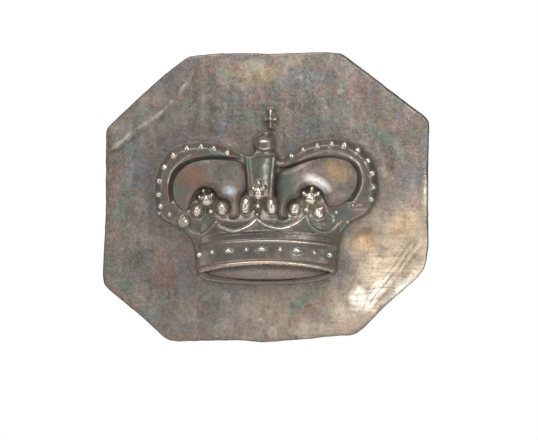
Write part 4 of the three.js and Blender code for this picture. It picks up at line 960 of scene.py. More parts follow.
# ------------------------------------------------------------------ materials
class Tree:
    def __init__(self, name):
        self.m = bpy.data.materials.new(name)
        self.m.use_nodes = True
        self.t = self.m.node_tree
        self.t.nodes.clear()
        self.out = self.t.nodes.new("ShaderNodeOutputMaterial")
        self.bsdf = self.t.nodes.new("ShaderNodeBsdfPrincipled")
        self.t.links.new(self.bsdf.outputs[0], self.out.inputs[0])
        self.tc = self.t.nodes.new("ShaderNodeTexCoord")

    def put(self, node, socket, value):
        s = node.inputs[socket]
        if isinstance(value, bpy.types.NodeSocket):
            self.t.links.new(value, s)
        else:
            s.default_value = value

    def coords(self, scale=(1000, 1000, 1000), rot=(0, 0, 0), loc=(0, 0, 0)):
        n = self.t.nodes.new("ShaderNodeMapping")
        n.inputs["Scale"].default_value = scale
        n.inputs["Rotation"].default_value = rot
        n.inputs["Location"].default_value = loc
        self.t.links.new(self.tc.outputs["Object"], n.inputs["Vector"])
        return n.outputs[0]

    def noise(self, scale, detail=4.0, rough=0.55, vec=None, distort=0.0):
        n = self.t.nodes.new("ShaderNodeTexNoise")
        n.inputs["Scale"].default_value = scale
        n.inputs["Detail"].default_value = detail
        n.inputs["Roughness"].default_value = rough
        n.inputs["Distortion"].default_value = distort
        self.t.links.new(vec or self.coords(), n.inputs["Vector"])
        return n.outputs["Fac"]

    def cells(self, scale, vec=None, feature="F1", rand=1.0):
        n = self.t.nodes.new("ShaderNodeTexVoronoi")
        n.feature = feature
        n.inputs["Scale"].default_value = scale
        n.inputs["Randomness"].default_value = rand
        self.t.links.new(vec or self.coords(), n.inputs["Vector"])
        return n.outputs["Distance"]

    def ramp(self, fac, stops):
        """Value or colour ramp: stops of (position, value)."""
        n = self.t.nodes.new("ShaderNodeValToRGB")
        e = n.color_ramp.elements
        while len(e) < len(stops):
            e.new(0.5)
        for el, (p, c) in zip(e, stops):
            el.position = p
            el.color = (c, c, c, 1) if isinstance(c, (int, float)) else (*c, 1)
        self.t.links.new(fac, n.inputs[0])
        return n.outputs[0]

    def map(self, fac, a, b, c=0.0, d=1.0):
        n = self.t.nodes.new("ShaderNodeMapRange")
        n.clamp = True
        for k, v in zip(("From Min", "From Max", "To Min", "To Max"), (a, b, c, d)):
            n.inputs[k].default_value = v
        self.t.links.new(fac, n.inputs["Value"])
        return n.outputs[0]

    def mix(self, fac, a, b, blend="MIX"):
        n = self.t.nodes.new("ShaderNodeMix")
        n.data_type = "RGBA"
        n.blend_type = blend
        ins = [i for i in n.inputs if i.type == "RGBA"]
        self.put(n, 0, fac)
        for s, v in zip(ins, (a, b)):
            if isinstance(v, bpy.types.NodeSocket):
                self.t.links.new(v, s)
            else:
                s.default_value = (*v, 1)
        return [o for o in n.outputs if o.type == "RGBA"][0]

    def math(self, op, a, b=0.0, clamp=False):
        n = self.t.nodes.new("ShaderNodeMath")
        n.operation = op
        n.use_clamp = clamp
        self.put(n, 0, a)
        self.put(n, 1, b)
        return n.outputs[0]

    def attr(self, name):
        n = self.t.nodes.new("ShaderNodeAttribute")
        n.attribute_name = name
        return n.outputs["Fac"]

    def bump(self, height, strength, distance, normal=None):
        n = self.t.nodes.new("ShaderNodeBump")
        n.inputs["Strength"].default_value = strength
        n.inputs["Distance"].default_value = distance
        self.t.links.new(height, n.inputs["Height"])
        if normal is not None:
            self.t.links.new(normal, n.inputs["Normal"])
        return n.outputs[0]

    def blob(self, cx, cz, rx, rz, angle=0.0, warp=None):
        """A soft spot on the face, 1 in its middle, in mm."""
        a = math.radians(angle)
        src = warp or self.coords()
        n = self.t.nodes.new("ShaderNodeMapping")
        n.vector_type = "TEXTURE"
        n.inputs["Location"].default_value = (cx, 0, cz)
        n.inputs["Rotation"].default_value = (0, -a, 0)
        n.inputs["Scale"].default_value = (rx, 1e5, rz)
        self.t.links.new(src, n.inputs["Vector"])
        g = self.t.nodes.new("ShaderNodeTexGradient")
        g.gradient_type = "SPHERICAL"
        self.t.links.new(n.outputs[0], g.inputs[0])
        return self.map(g.outputs["Fac"], 0.0, 0.75)

    def warped(self, amount, scale, loc=(0, 0, 0)):
        n = self.t.nodes.new("ShaderNodeTexNoise")
        n.inputs["Scale"].default_value = scale
        n.inputs["Detail"].default_value = 3.0
        self.t.links.new(self.coords(loc=loc), n.inputs["Vector"])
        sub = self.t.nodes.new("ShaderNodeVectorMath")
        sub.operation = "SUBTRACT"
        self.t.links.new(n.outputs["Color"], sub.inputs[0])
        sub.inputs[1].default_value = (0.5, 0.5, 0.5)
        mul = self.t.nodes.new("ShaderNodeVectorMath")
        mul.operation = "SCALE"
        self.t.links.new(sub.outputs[0], mul.inputs[0])
        mul.inputs["Scale"].default_value = amount
        add = self.t.nodes.new("ShaderNodeVectorMath")
        add.operation = "ADD"
        self.t.links.new(self.coords(), add.inputs[0])
        self.t.links.new(mul.outputs[0], add.inputs[1])
        return add.outputs[0]

    def scratches(self, angle, density, loc=0.0, length=0.16, fine=5.5):
        """Thin hairlines across the face at one angle: 1 on a line."""
        a = math.radians(angle)
        rot = self.t.nodes.new("ShaderNodeMapping")
        rot.inputs["Rotation"].default_value = (0, a, 0)
        rot.inputs["Scale"].default_value = (1000, 1000, 1000)
        self.t.links.new(self.tc.outputs["Object"], rot.inputs["Vector"])
        st = self.t.nodes.new("ShaderNodeMapping")
        st.inputs["Scale"].default_value = (length, 0.2, fine)
        st.inputs["Location"].default_value = (loc, 0, loc * 1.7)
        self.t.links.new(rot.outputs[0], st.inputs["Vector"])
        n = self.t.nodes.new("ShaderNodeTexNoise")
        n.inputs["Scale"].default_value = 1.0
        n.inputs["Detail"].default_value = 2.0
        n.inputs["Roughness"].default_value = 0.4
        n.inputs["Distortion"].default_value = 0.15
        self.t.links.new(st.outputs[0], n.inputs["Vector"])
        return self.map(n.outputs["Fac"], density, density + 0.035)


def srgb(r, g, b):
    f = lambda c: c / 12.92 if c <= 0.04045 else ((c + 0.055) / 1.055) ** 2.4
    return tuple(f(c / 255) for c in (r, g, b))


def plate_material():
    t = Tree("aged_plate")
    warp = t.warped(7.0, 0.16)
    warp2 = t.warped(3.2, 0.35, (31, 7, 12))
    big = t.noise(0.11, 3, 0.5, warp)
    mid = t.noise(0.17, 3, 0.6, t.warped(5.0, 0.2, (40, 3, 9)))
    mid2 = t.noise(0.16, 3, 0.6, t.warped(5.0, 0.2, (-17, 3, 31)))
    mid3 = t.noise(0.14, 3, 0.6, t.warped(5.0, 0.2, (9, 5, -23)))
    soft = t.noise(0.42, 4, 0.6, t.coords(loc=(2, 8, 5)))
    fine = t.noise(1.5, 6, 0.72)
    grit = t.noise(4.2, 4, 0.7)
    col = t.mix(t.map(big, 0.38, 0.62), srgb(119, 112, 104), srgb(104, 98, 93))
    # where the tarnish is thinner, the sheet is paler and warmer
    pale = None
    for cx, cz, rx, rz, ang, k in [(-23.16, -14.264, 2.147, 3.067, 0, 0.6), (-20.092, -16.564, 2.147, 2.147, 0, 0.5), (-13.804, 11.503, 3.988, 1.84, 40, 0.35), (-22.393, 11.043, 2.147, 2.147, 0, 0.4), (1.38, 11.503, 1.84, 2.147, 0, 0.4), (22.086, -9.356, 3.067, 4.601, 0, 0.8), (5.215, -19.632, 3.988, 2.147, 0, 0.5), (1.38, 20.552, 11.963, 3.067, 0, 0.85), (12.577, 17.945, 4.601, 2.454, -40, 0.5), (20.552, -1.38, 3.374, 5.215, 0, 0.55), (-3.988, 19.172, 3.988, 3.374, 0, 0.6), (-0.613, -18.865, 12.883, 3.988, 0, 1.1), (2.147, -15.491, 15.337, 2.761, 0, 0.75), (12.117, -17.331, 4.601, 5.215, 30, 0.9), (13.65, -6.595, 2.454, 6.135, 0, 0.7), (-17.791, 14.264, 6.135, 2.147, 38, 0.45), (-22.393, -5.828, 1.84, 6.135, 0, 0.2)]:
        b = t.math("MULTIPLY", t.blob(cx, cz, rx, rz, ang, warp2), k)
        pale = b if pale is None else t.math("MAXIMUM", pale, b)
    col = t.mix(pale, col, srgb(156, 141, 126))
    col = t.mix(t.map(mid, 0.49, 0.60, 0, 0.8), col, srgb(98, 114, 104))
    col = t.mix(t.map(mid2, 0.50, 0.61, 0, 0.75), col, srgb(132, 106, 98))
    col = t.mix(t.map(mid3, 0.53, 0.64, 0, 0.65), col, srgb(106, 110, 120))
    for (cx, cz, rx, rz, ang), c, k in [((7.975, 14.264, 6.748, 2.147, 0), srgb(92, 90, 86), 0.6), ((-10.123, 20.706, 3.374, 1.84, 0), srgb(112, 104, 98), 0.5), ((22.393, 5.982, 3.374, 4.294, 0), srgb(112, 104, 98), 0.6), ((-1.687, -19.172, 2.454, 2.761, 0), srgb(112, 104, 98), 0.5), ((-1.227, 18.865, 5.215, 2.454, 0), srgb(150, 130, 96), 0.7), ((-1.84, 20.092, 2.454, 1.84, 0), srgb(180, 174, 158), 0.75), ((-21.166, 7.822, 2.761, 2.147, 0), srgb(96, 112, 108), 0.75), ((-13.497, 12.423, 5.215, 2.147, 40), srgb(108, 118, 112), 0.45), ((-15.337, -11.503, 3.374, 3.681, 20), srgb(124, 92, 80), 0.7), ((-19.939, -9.969, 1.534, 2.454, 0), srgb(66, 74, 66), 0.6), ((7.055, 11.043, 4.294, 1.994, 0), srgb(94, 104, 102), 0.75), ((-5.215, 13.037, 3.681, 3.374, 0), srgb(88, 96, 88), 0.6), ((-7.362, -16.564, 1.84, 4.294, 0), srgb(92, 106, 98), 0.6), ((-4.908, -17.945, 1.534, 2.147, 0), srgb(98, 94, 110), 0.5), ((14.724, 17.945, 2.147, 1.84, -36), srgb(140, 112, 104), 0.6), ((23.313, 12.117, 2.147, 1.534, -36), srgb(128, 100, 92), 0.65), ((12.883, -10.276, 1.534, 2.147, 0), srgb(110, 102, 110), 0.35), ((16.258, -11.196, 1.534, 1.38, 0), srgb(120, 112, 118), 0.4)]:
        col = t.mix(t.math("MULTIPLY", t.blob(cx, cz, rx, rz, ang, warp2), k), col, c)
    # worn, brighter metal at the lower right, with painted glare in it
    wear_and_glare = None
    for cx, cz, rx, rz, ang, k in [(18.712, -10.583, 11.35, 5.521, 50, 0.95), (20.859, -3.834, 6.135, 4.601, 50, 0.45), (24.54, -0.46, 1.074, 3.681, 0, 0.6), (5.675, -20.706, 2.454, 0.92, 0, 0.6), (12.27, -18.558, 5.215, 3.374, 40, 0.5), (11.35, -14.264, 2.761, 3.374, 0, 0.35), (23.313, -9.969, 3.067, 5.521, 0, 1.2), (7.055, -20.092, 3.681, 1.84, 0, 0.35), (16.871, -16.718, 3.374, 2.454, 50, 0.8), (16.564, -4.141, 3.067, 3.681, 0, 0.6), (14.417, -8.129, 2.761, 4.601, 0, 0.45)]:
        b = t.math("MULTIPLY", t.blob(cx, cz, rx, rz, ang, warp2), k)
        wear_and_glare = b if wear_and_glare is None else t.math("MAXIMUM", wear_and_glare, b)
    streak = t.noise(1.0, 4, 0.6, t.coords(scale=(260, 300, 2300), rot=(0, math.radians(-47), 0)))
    wear_and_glare = t.math("MULTIPLY", wear_and_glare, t.map(streak, 0.34, 0.60, 0.50, 1.10), clamp=True)
    wear_and_glare = t.math("MULTIPLY", wear_and_glare, t.map(soft, 0.30, 0.55, 0.70, 1.10), clamp=True)
    col = t.mix(wear_and_glare, col, srgb(214, 194, 168))
    # painted glare: near-white spots along the lower right corner and at the right edge
    painted_glare = None
    for cx, cz, rx, rz, ang, k in [(13.957, -15.644, 2.301, 1.84, 50, 1.6), (17.178, -14.571, 4.601, 1.227, 50, 0.9), (21.166, -13.65, 5.215, 1.074, 50, 0.9), (24.693, 0.767, 0.613, 2.454, 0, 0.6)]:
        b = t.math("MULTIPLY", t.blob(cx, cz, rx, rz, ang, warp2), k, clamp=True)
        painted_glare = b if painted_glare is None else t.math("MAXIMUM", painted_glare, b)
    painted_glare = t.math("MULTIPLY", painted_glare, t.map(streak, 0.36, 0.54, 0.35, 1.0), clamp=True)
    col = t.mix(painted_glare, col, srgb(250, 244, 232))
    for (cx, cz, rx, rz, ang), c, k in [((15.337, -6.595, 3.067, 2.454, 30), srgb(200, 160, 116), 0.7), ((21.166, -4.448, 3.988, 2.454, 40), srgb(196, 164, 122), 0.7), ((20.245, -8.742, 4.294, 1.84, 45), srgb(190, 168, 136), 0.5), ((12.577, -9.969, 1.534, 1.84, 0), srgb(112, 104, 112), 0.3)]:
        col = t.mix(t.math("MULTIPLY", t.blob(cx, cz, rx, rz, ang, warp2), k), col, c)
    # faint streaks left by the striking, up and down
    run = t.noise(1.0, 3, 0.5, t.coords(scale=(900, 500, 140)))
    col = t.mix(t.map(run, 0.54, 0.70, 0, 0.14), col, srgb(162, 151, 140))
    col = t.mix(t.map(run, 0.46, 0.32, 0, 0.16), col, srgb(64, 59, 54))
    # grain of the tarnish: pale and dark flecks
    col = t.mix(t.map(soft, 0.56, 0.72, 0, 0.22), col, srgb(162, 151, 140))
    col = t.mix(t.map(soft, 0.46, 0.30, 0, 0.30), col, srgb(64, 59, 54))
    col = t.mix(t.map(fine, 0.53, 0.70, 0, 0.50), col, srgb(162, 151, 140))
    col = t.mix(t.map(fine, 0.47, 0.30, 0, 0.55), col, srgb(64, 59, 54))
    col = t.mix(t.map(grit, 0.54, 0.68, 0, 0.6), col, srgb(162, 151, 140))
    col = t.mix(t.map(grit, 0.46, 0.32, 0, 0.6), col, srgb(64, 59, 54))
    pits = t.math("MULTIPLY", t.map(t.cells(0.9, warp2), 0.15, 0.05), t.map(t.noise(0.5, 2, 0.5, t.coords(loc=(3, 9, 4))), 0.50, 0.60))
    col = t.mix(t.math("MULTIPLY", pits, 0.7), col, srgb(44, 38, 34))
    flecks = t.math("MULTIPLY", t.map(t.cells(0.55, t.warped(2.0, 0.5, (5, 2, 61))), 0.07, 0.03), t.map(t.noise(0.3, 2, 0.5, t.coords(loc=(13, 9, 4))), 0.50, 0.60))
    col = t.mix(t.math("MULTIPLY", flecks, 0.8), col, srgb(214, 194, 168))
    lines = None
    for ang, dens, loc in ((12, 0.70, 3.0), (-47, 0.68, 23.0), (-71, 0.71, 37.0)):
        s = t.scratches(ang, dens, loc)
        lines = s if lines is None else t.math("MAXIMUM", lines, s)
    col = t.mix(t.math("MULTIPLY", lines, 0.16), col, srgb(160, 150, 138))
    # painted shade round the foot of the crown, darkest in a thin band against it, and wear on what stands proud
    shade = t.map(t.attr("near"), 0.0, 4.5, 0.30, 0)
    col = t.mix(shade, col, srgb(72, 68, 62))
    near = t.map(t.attr("near"), 0.0, 0.8, 1, 0)
    col = t.mix(t.math("MULTIPLY", near, t.map(fine, 0.3, 0.6, 0.0, 0.12)), col, srgb(60, 54, 48))
    proud = t.math("MULTIPLY", t.map(t.attr("fine"), 0.010, 0.05, 0, 0.6), t.map(t.attr("near"), 1.0, 2.5))
    col = t.mix(proud, col, srgb(170, 158, 144))
    sunk = t.map(t.attr("fine"), -0.008, -0.04, 0, 0.6)
    col = t.mix(sunk, col, srgb(60, 54, 48))
    rim_dark = t.map(t.attr("edge"), 0.05, 0.5, 0.18, 0)
    col = t.mix(rim_dark, col, srgb(64, 59, 54))
    cut = t.map(t.attr("edge"), 0.03, 0.16, 1, 0)
    col = t.mix(t.math("MULTIPLY", cut, t.map(mid, 0.40, 0.60, 0.15, 0.8)), col, srgb(60, 54, 48))
    # back: duller, with heat stain round the brazed feet
    behind = t.attr("behind")
    back = t.mix(t.map(fine, 0.35, 0.65), srgb(104, 90, 76), srgb(84, 74, 64))
    back = t.mix(t.map(mid, 0.52, 0.64, 0, 0.55), back, srgb(84, 104, 92))
    for sx in (-10.0, 10.0):
        back = t.mix(t.math("MULTIPLY", t.blob(sx, 0, 5.4, 6.4, 0, warp2), 0.75), back, srgb(104, 72, 60))
        back = t.mix(t.math("MULTIPLY", t.blob(sx, 0, 3.2, 4.2, 0, warp2), 0.6), back, srgb(128, 120, 104))
    back = t.mix(t.math("MULTIPLY", lines, t.map(mid2, 0.48, 0.60, 0.0, 0.30)), back, srgb(160, 150, 138))
    brushed = t.noise(1.0, 4, 0.6, t.coords(scale=(130, 300, 2100), rot=(0, math.radians(9), 0)))
    back = t.mix(t.map(brushed, 0.52, 0.68, 0, 0.30), back, srgb(162, 151, 140))
    back = t.mix(t.map(brushed, 0.48, 0.32, 0, 0.35), back, srgb(64, 59, 54))
    back = t.mix(t.map(soft, 0.55, 0.66, 0, 0.30), back, srgb(132, 106, 98))
    col = t.mix(t.map(behind, 0.4, 0.6), col, back)
    t.put(t.bsdf, "Base Color", col)
    t.bsdf.inputs["Metallic"].default_value = 0.88
    rough = t.map(fine, 0.3, 0.7, 0.54, 0.40)
    rough = t.math("SUBTRACT", rough, t.math("MULTIPLY", wear_and_glare, 0.09))
    rough = t.math("SUBTRACT", rough, t.math("MULTIPLY", flecks, 0.12))
    rough = t.math("SUBTRACT", rough, t.math("MULTIPLY", lines, 0.08))
    rough = t.math("ADD", rough, t.math("MULTIPLY", near, 0.10), clamp=True)
    t.put(t.bsdf, "Roughness", rough)
    n1 = t.bump(t.noise(0.9, 4, 0.6, t.coords(loc=(5, 5, 5))), 0.35, 0.00010)
    n2 = t.bump(fine, 0.40, 0.000035, n1)
    n3 = t.bump(grit, 0.45, 0.000014, n2)
    n4 = t.bump(t.math("ADD", lines, pits), -0.5, 0.000020, n3)
    t.put(t.bsdf, "Normal", n4)
    return t.m


def crown_material(name, base, base2, tint, rough0, rough1, warm=1.0):
    t = Tree(name)
    mid = t.noise(0.42, 4, 0.55, t.coords(loc=(12, 1, 7)))
    mid2 = t.noise(0.36, 3, 0.5, t.coords(loc=(-8, 1, 19)))
    fine = t.noise(1.8, 6, 0.72)
    grit = t.noise(4.6, 4, 0.7)
    col = t.mix(t.map(mid, 0.40, 0.60), base, base2)
    col = t.mix(t.map(mid2, 0.48, 0.60, 0, 0.85), col, tint)
    red = t.noise(0.30, 3, 0.6, t.warped(4.0, 0.3, (21, 3, -14)))
    col = t.mix(t.map(red, 0.50, 0.62, 0, 0.8), col, srgb(112, 86, 80))
    # among these spots, the two dark ones at the right of the circlet and across the skirt are painted shade, and the
    # two pale ones over the cross ornaments are painted highlight
    for (cx, cz, rx, rz, ang), c, k in [((7.975, -7.669, 3.374, 3.374, 0), srgb(64, 60, 54), 0.7), ((6.748, -1.074, 3.988, 2.454, 0), srgb(196, 188, 174), 0.6), ((-1.534, -1.074, 9.509, 2.301, 0), srgb(152, 142, 128), 0.6), ((-1.534, -4.908, 11.656, 1.994, 0), srgb(62, 58, 53), 0.9), ((-0.767, 3.834, 2.454, 3.988, 0), srgb(80, 86, 76), 0.7), ((-0.613, -9.969, 10.736, 1.38, 0), srgb(120, 94, 80), 0.5), ((0, -8.129, 7.669, 1.38, 0), srgb(84, 88, 78), 0.4), ((-7.822, -8.129, 2.454, 3.067, 0), srgb(76, 86, 80), 0.3), ((-13.804, 4.141, 2.147, 3.067, 30), srgb(90, 70, 76), 0.5), ((0, -12.883, 10.736, 0.92, 0), srgb(96, 70, 60), 0.5)]:
        col = t.mix(t.math("MULTIPLY", t.blob(cx, cz, rx, rz, ang), k), col, c)
    col = t.mix(t.map(fine, 0.53, 0.70, 0, 0.5), col, srgb(120, 108, 96))
    col = t.mix(t.map(fine, 0.47, 0.30, 0, 0.6), col, srgb(58, 52, 46))
    col = t.mix(t.map(grit, 0.55, 0.70, 0, 0.5), col, srgb(120, 108, 96))
    col = t.mix(t.map(grit, 0.45, 0.32, 0, 0.6), col, srgb(58, 52, 46))
    hollow = t.math("MAXIMUM", t.map(t.attr("fine"), -0.03, -0.16, 0, 0.36), t.map(t.attr("wide"), -0.2, -0.7, 0, 0.25))
    col = t.mix(hollow, col, srgb(60, 54, 48))
    worn = t.math("MAXIMUM", t.map(t.attr("fine"), 0.045, 0.15, 0, 0.65), t.map(t.attr("wide"), 0.3, 0.7, 0, 0.25))
    worn = t.math("MULTIPLY", worn, t.map(fine, 0.38, 0.58, 0.25, 1.0), clamp=True)
    worn = t.math("MULTIPLY", worn, t.attr("calm"), clamp=True)
    col = t.mix(worn, col, srgb(186, 166, 146))
    # painted shade: dark spots over the skirt, along the top of the circlet, at its two ends and on the tops of the
    # arches
    for (cx, cz, rx, rz, ang), c, k in [((-2.454, -4.448, 7.055, 1.84, 0), srgb(60, 55, 50), 0.75), ((-8.589, -7.515, 3.067, 3.681, 0), srgb(66, 62, 56), 0.5), ((8.589, -5.982, 3.067, 3.067, 0), srgb(66, 60, 54), 0.5), ((-10.123, 7.515, 3.374, 1.534, -20), srgb(84, 78, 70), 0.5), ((8.282, 7.209, 4.601, 1.534, 0), srgb(84, 78, 70), 0.35), ((-1.687, -7.055, 9.202, 1.534, 0), srgb(78, 70, 64), 0.3)]:
        col = t.mix(t.math("MULTIPLY", t.blob(cx, cz, rx, rz, ang), k), col, c)
    # painted light: the flanks along the outline and the openings are paled so that they do not fall dark
    flank_painted_light = t.math("MULTIPLY", t.map(t.attr("rim"), 0.0, 0.45, 0.75, 0), t.map(fine, 0.35, 0.6, 0.7, 1.0), clamp=True)
    col = t.mix(flank_painted_light, col, srgb(138, 128, 116))
    # painted highlights on the pearls, jewels, ornaments and mouldings
    painted_glint = t.math("MULTIPLY", t.attr("painted_glint"), t.map(t.noise(2.4, 5, 0.75, t.coords(loc=(7, 7, 7))), 0.30, 0.52, 0.2, 1.0), clamp=True)
    col = t.mix(t.math("MULTIPLY", painted_glint, 0.85), col, srgb(226, 216, 200))
    behind = t.map(t.attr("behind"), 0.4, 0.6)
    col = t.mix(behind, col, srgb(104, 90, 76))
    t.put(t.bsdf, "Base Color", col)
    t.put(t.bsdf, "Metallic", t.map(t.math("MAXIMUM", painted_glint, worn), 0.0, 0.6, 0.34, 0.92))
    r = t.map(fine, 0.3, 0.7, rough1, rough0)
    r = t.math("SUBTRACT", r, t.math("MULTIPLY", worn, 0.08))
    r = t.math("SUBTRACT", r, t.math("MULTIPLY", painted_glint, 0.10))
    r = t.math("ADD", r, t.math("MULTIPLY", hollow, 0.14), clamp=True)
    t.put(t.bsdf, "Roughness", r)
    n1 = t.bump(t.noise(1.6, 4, 0.6, t.coords(loc=(5, 5, 5))), 0.30, 0.000060)
    n2 = t.bump(fine, 0.35, 0.000022, n1)
    n3 = t.bump(grit, 0.35, 0.000009, n2)
    t.put(t.bsdf, "Normal", n3)
    return t.m


def lining_material():
    t = Tree("cap_lining_metal")
    mid = t.noise(0.30, 3, 0.5, t.coords(loc=(2, 1, 17)))
    fine = t.noise(1.9, 6, 0.72)
    grit = t.noise(4.8, 4, 0.7)
    green = t.noise(0.34, 3, 0.6, t.warped(3.0, 0.4, (-4, 3, 8)))
    col = t.mix(t.map(mid, 0.4, 0.6), srgb(108, 98, 90), srgb(92, 84, 78))
    col = t.mix(t.map(green, 0.50, 0.62, 0, 0.7), col, srgb(86, 96, 88))
    col = t.mix(t.map(green, 0.46, 0.34, 0, 0.7), col, srgb(112, 86, 80))
    # among these spots, the pale one on the left lobe, the pale crescent on the right lobe and the pale band behind the
    # cross ornaments are painted highlight; the dark ones on the tops of the lobes and in the deep recesses beside the
    # middle arch are painted shade
    for (cx, cz, rx, rz, ang), c, k in [((8.589, 5.215, 3.988, 1.227, 0), srgb(74, 68, 62), 0.5), ((-5.521, 3.221, 2.454, 1.227, 0), srgb(80, 74, 66), 0.4), ((-1.227, -1.534, 8.896, 1.994, 0), srgb(148, 138, 126), 0.7), ((-4.601, 5.675, 3.988, 2.454, 0), srgb(76, 74, 66), 0.6), ((6.748, 5.982, 9.202, 1.84, 10), srgb(84, 78, 70), 0.6), ((-5.521, 0.92, 1.227, 1.074, 0), srgb(158, 166, 174), 0.75), ((7.822, 2.147, 2.761, 1.227, -30), srgb(214, 211, 206), 0.9), ((-11.196, 2.914, 3.374, 2.454, 0), srgb(122, 92, 76), 0.75), ((11.043, 3.988, 3.067, 1.84, -30), srgb(136, 112, 82), 0.75), ((5.521, 4.448, 1.84, 1.534, 0), srgb(128, 104, 98), 0.6), ((2.607, 1.84, 2.147, 4.601, 0), srgb(66, 76, 70), 0.8), ((-6.288, 4.755, 2.147, 1.84, 0), srgb(74, 78, 68), 0.6), ((0, -11.656, 10.736, 1.84, 0), srgb(140, 128, 118), 0.9)]:
        col = t.mix(t.math("MULTIPLY", t.blob(cx, cz, rx, rz, ang), k), col, c)
    col = t.mix(t.map(fine, 0.53, 0.70, 0, 0.45), col, srgb(120, 108, 96))
    col = t.mix(t.map(fine, 0.47, 0.30, 0, 0.6), col, srgb(58, 52, 46))
    col = t.mix(t.map(grit, 0.46, 0.32, 0, 0.6), col, srgb(58, 52, 46))
    rim = t.map(t.attr("wide"), 0.9, 0.1, 0, 0.10)
    inside_void = t.map(t.attr("wide"), -0.05, 0.05)
    col = t.mix(t.math("MULTIPLY", rim, inside_void), col, srgb(60, 54, 48))
    col = t.mix(t.map(t.attr("behind"), 0.4, 0.6), col, srgb(104, 90, 76))
    t.put(t.bsdf, "Base Color", col)
    t.bsdf.inputs["Metallic"].default_value = 0.62
    r = t.map(fine, 0.3, 0.7, 0.52, 0.36)
    t.put(t.bsdf, "Roughness", r)
    n1 = t.bump(t.noise(0.9, 4, 0.6), 0.45, 0.000110)
    n2 = t.bump(fine, 0.6, 0.000060, n1)
    t.put(t.bsdf, "Normal", n2)
    return t.m


def wire_material(name, a, b, dark, worn_col, r0, r1, metallic=0.95, green=None):
    t = Tree(name)
    mid = t.noise(0.6, 4, 0.6)
    fine = t.noise(4.0, 5, 0.6)
    col = t.mix(t.map(mid, 0.38, 0.62), a, b)
    col = t.mix(t.map(fine, 0.48, 0.30, 0, 0.55), col, dark)
    if green is not None:
        low = t.math("MULTIPLY", t.map(t.attr("low"), 0.15, 0.9), t.map(t.noise(1.4, 4, 0.6, t.coords(loc=(3, 3, 3))), 0.42, 0.60))
        col = t.mix(t.math("MULTIPLY", low, 0.8), col, green)
    worn = t.math("MULTIPLY", t.attr("wear"), t.map(fine, 0.3, 0.6, 0.5, 1.0), clamp=True)
    col = t.mix(worn, col, worn_col)
    t.put(t.bsdf, "Base Color", col)
    t.bsdf.inputs["Metallic"].default_value = metallic
    r = t.map(fine, 0.3, 0.7, r1, r0)
    r = t.math("SUBTRACT", r, t.math("MULTIPLY", worn, 0.08))
    t.put(t.bsdf, "Roughness", r)
    n1 = t.bump(fine, 0.35, 0.000025)
    n2 = t.bump(t.noise(10.0, 3, 0.6), 0.25, 0.000010, n1)
    t.put(t.bsdf, "Normal", n2)
    return t.m


def dress(ob, mat):
    ob.data.materials.clear()
    ob.data.materials.append(mat)


dress(plate, plate_material())
dress(crown, crown_material("crown_patina", srgb(102, 91, 84), srgb(88, 80, 74), srgb(86, 96, 88), 0.24, 0.34))
dress(lining, lining_material())
copper = wire_material("lug_copper", srgb(150, 100, 78), srgb(122, 84, 68), srgb(70, 50, 42), srgb(205, 150, 120), 0.28, 0.42, green=srgb(86, 120, 104))
braze = wire_material("braze_metal", srgb(150, 142, 118), srgb(120, 110, 92), srgb(70, 64, 54), srgb(190, 182, 160), 0.40, 0.58, 0.85, green=srgb(88, 122, 108))
brass = wire_material("pin_brass", srgb(176, 148, 92), srgb(150, 122, 74), srgb(88, 70, 44), srgb(226, 200, 140), 0.24, 0.38)
for o in bpy.data.objects:
    if o.name.startswith(("lug_left_wire", "lug_right_wire", "peg_")):
        dress(o, copper)
    elif o.name.endswith("braze_fillet"):
        dress(o, braze)
dress(pin, brass)

# ------------------------------------------------------------------ stage, light and camera
def stage_disc(radius, z):
    n = 96
    verts = [(0, 0, z)] + [(radius * math.cos(2 * math.pi * i / n), radius * math.sin(2 * math.pi * i / n), z) for i in range(n)]
    faces = [(0, 1 + i, 1 + (i + 1) % n) for i in range(n)]
    mesh = bpy.data.meshes.new("pale_floor")
    mesh.from_pydata([tuple(c * MM for c in v) for v in verts], [], faces)
    ob = bpy.data.objects.new("pale_floor", mesh)
    bpy.context.scene.collection.objects.link(ob)
    m = bpy.data.materials.new("pale_floor")
    m.use_nodes = True
    b = m.node_tree.nodes["Principled BSDF"]
    b.inputs["Base Color"].default_value = (0.86, 0.86, 0.86, 1)
    b.inputs["Roughness"].default_value = 0.9
    b.inputs["Specular IOR Level"].default_value = 0.2
    mesh.materials.append(m)
    return ob


floor = stage_disc(250.0, -60)

world = bpy.data.worlds.new("studio")
bpy.context.scene.world = world
world.use_nodes = True
wt = world.node_tree
wt.nodes.clear()
wo = wt.nodes.new("ShaderNodeOutputWorld")
bg_seen = wt.nodes.new("ShaderNodeBackground")
bg_seen.inputs["Color"].default_value = (1, 1, 1, 1)
bg_seen.inputs["Strength"].default_value = 1.0
bg_lit = wt.nodes.new("ShaderNodeBackground")
geo = wt.nodes.new("ShaderNodeTexCoord")
sep = wt.nodes.new("ShaderNodeSeparateXYZ")
wt.links.new(geo.outputs["Generated"], sep.inputs[0])
rp = wt.nodes.new("ShaderNodeValToRGB")
mp = wt.nodes.new("ShaderNodeMapRange")
mp.inputs["From Min"].default_value, mp.inputs["From Max"].default_value = -1, 1
wt.links.new(sep.outputs["Z"], mp.inputs["Value"])
wt.links.new(mp.outputs[0], rp.inputs[0])
els = rp.color_ramp.elements
els[0].position, els[0].color = 0.0, (0.42, 0.41, 0.40, 1)
els[1].position, els[1].color = 1.0, (0.95, 0.97, 1.0, 1)
e = els.new(0.5); e.color = (0.50, 0.50, 0.51, 1)
wt.links.new(rp.outputs[0], bg_lit.inputs["Color"])
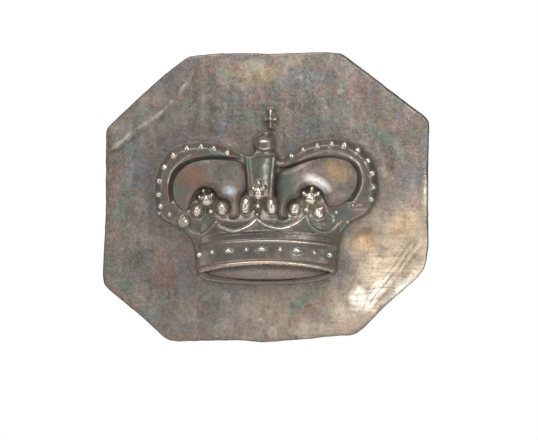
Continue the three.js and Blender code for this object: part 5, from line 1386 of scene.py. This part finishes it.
bg_lit.inputs["Strength"].default_value = 0.55
lp = wt.nodes.new("ShaderNodeLightPath")
mx = wt.nodes.new("ShaderNodeMixShader")
wt.links.new(lp.outputs["Is Camera Ray"], mx.inputs[0])
wt.links.new(bg_lit.outputs[0], mx.inputs[1])
wt.links.new(bg_seen.outputs[0], mx.inputs[2])
wt.links.new(mx.outputs[0], wo.inputs[0])


def area(name, direction, distance, size, power, color=(1, 1, 1), target=(0, 0, 0)):
    """A soft box seen from the badge in a direction of (degrees to the right, degrees up) of the camera."""
    az, el = math.radians(direction[0]), math.radians(direction[1])
    d = Vector((math.sin(az) * math.cos(el), -math.cos(az) * math.cos(el), math.sin(el)))
    light = bpy.data.lights.new(name, "AREA")
    light.shape = "DISK"
    light.size = size
    light.energy = power
    light.color = color
    ob = bpy.data.objects.new(name, light)
    ob.location = Vector(target) + d * distance
    ob.rotation_euler = d.to_track_quat("Z", "Y").to_euler()
    bpy.context.scene.collection.objects.link(ob)
    return ob


area("key", (16, 13), 0.42, 0.075, 0.50, (1.0, 0.985, 0.96))
area("top", (-20, 58), 0.45, 0.30, 1.4, (1.0, 1.0, 1.0))
area("corner", (34, -14), 0.45, 0.16, 0.50, (1.0, 0.97, 0.93))
area("left", (-52, 8), 0.50, 0.25, 0.5, (0.96, 0.98, 1.0))
area("rear", (165, 35), 0.50, 0.40, 2.4, (1.0, 1.0, 1.0))

cam = bpy.data.cameras.new("camera")
cam.lens = 180
cam.sensor_width = 36
cam.clip_start, cam.clip_end = 0.01, 10
cam_ob = bpy.data.objects.new("camera", cam)
bpy.context.scene.collection.objects.link(cam_ob)
FRAME_W = 538 * S * MM
cam_ob.location = (X_(269) * MM, -(FRAME_W * 180 / 36) - PLATE_T * MM, Z_(220) * MM)
cam_ob.rotation_euler = (math.pi / 2, 0, 0)
bpy.context.scene.camera = cam_ob
bpy.context.scene.view_settings.view_transform = "Standard"
bpy.context.scene.view_settings.look = "None"
bpy.context.scene.view_settings.exposure = 0.0
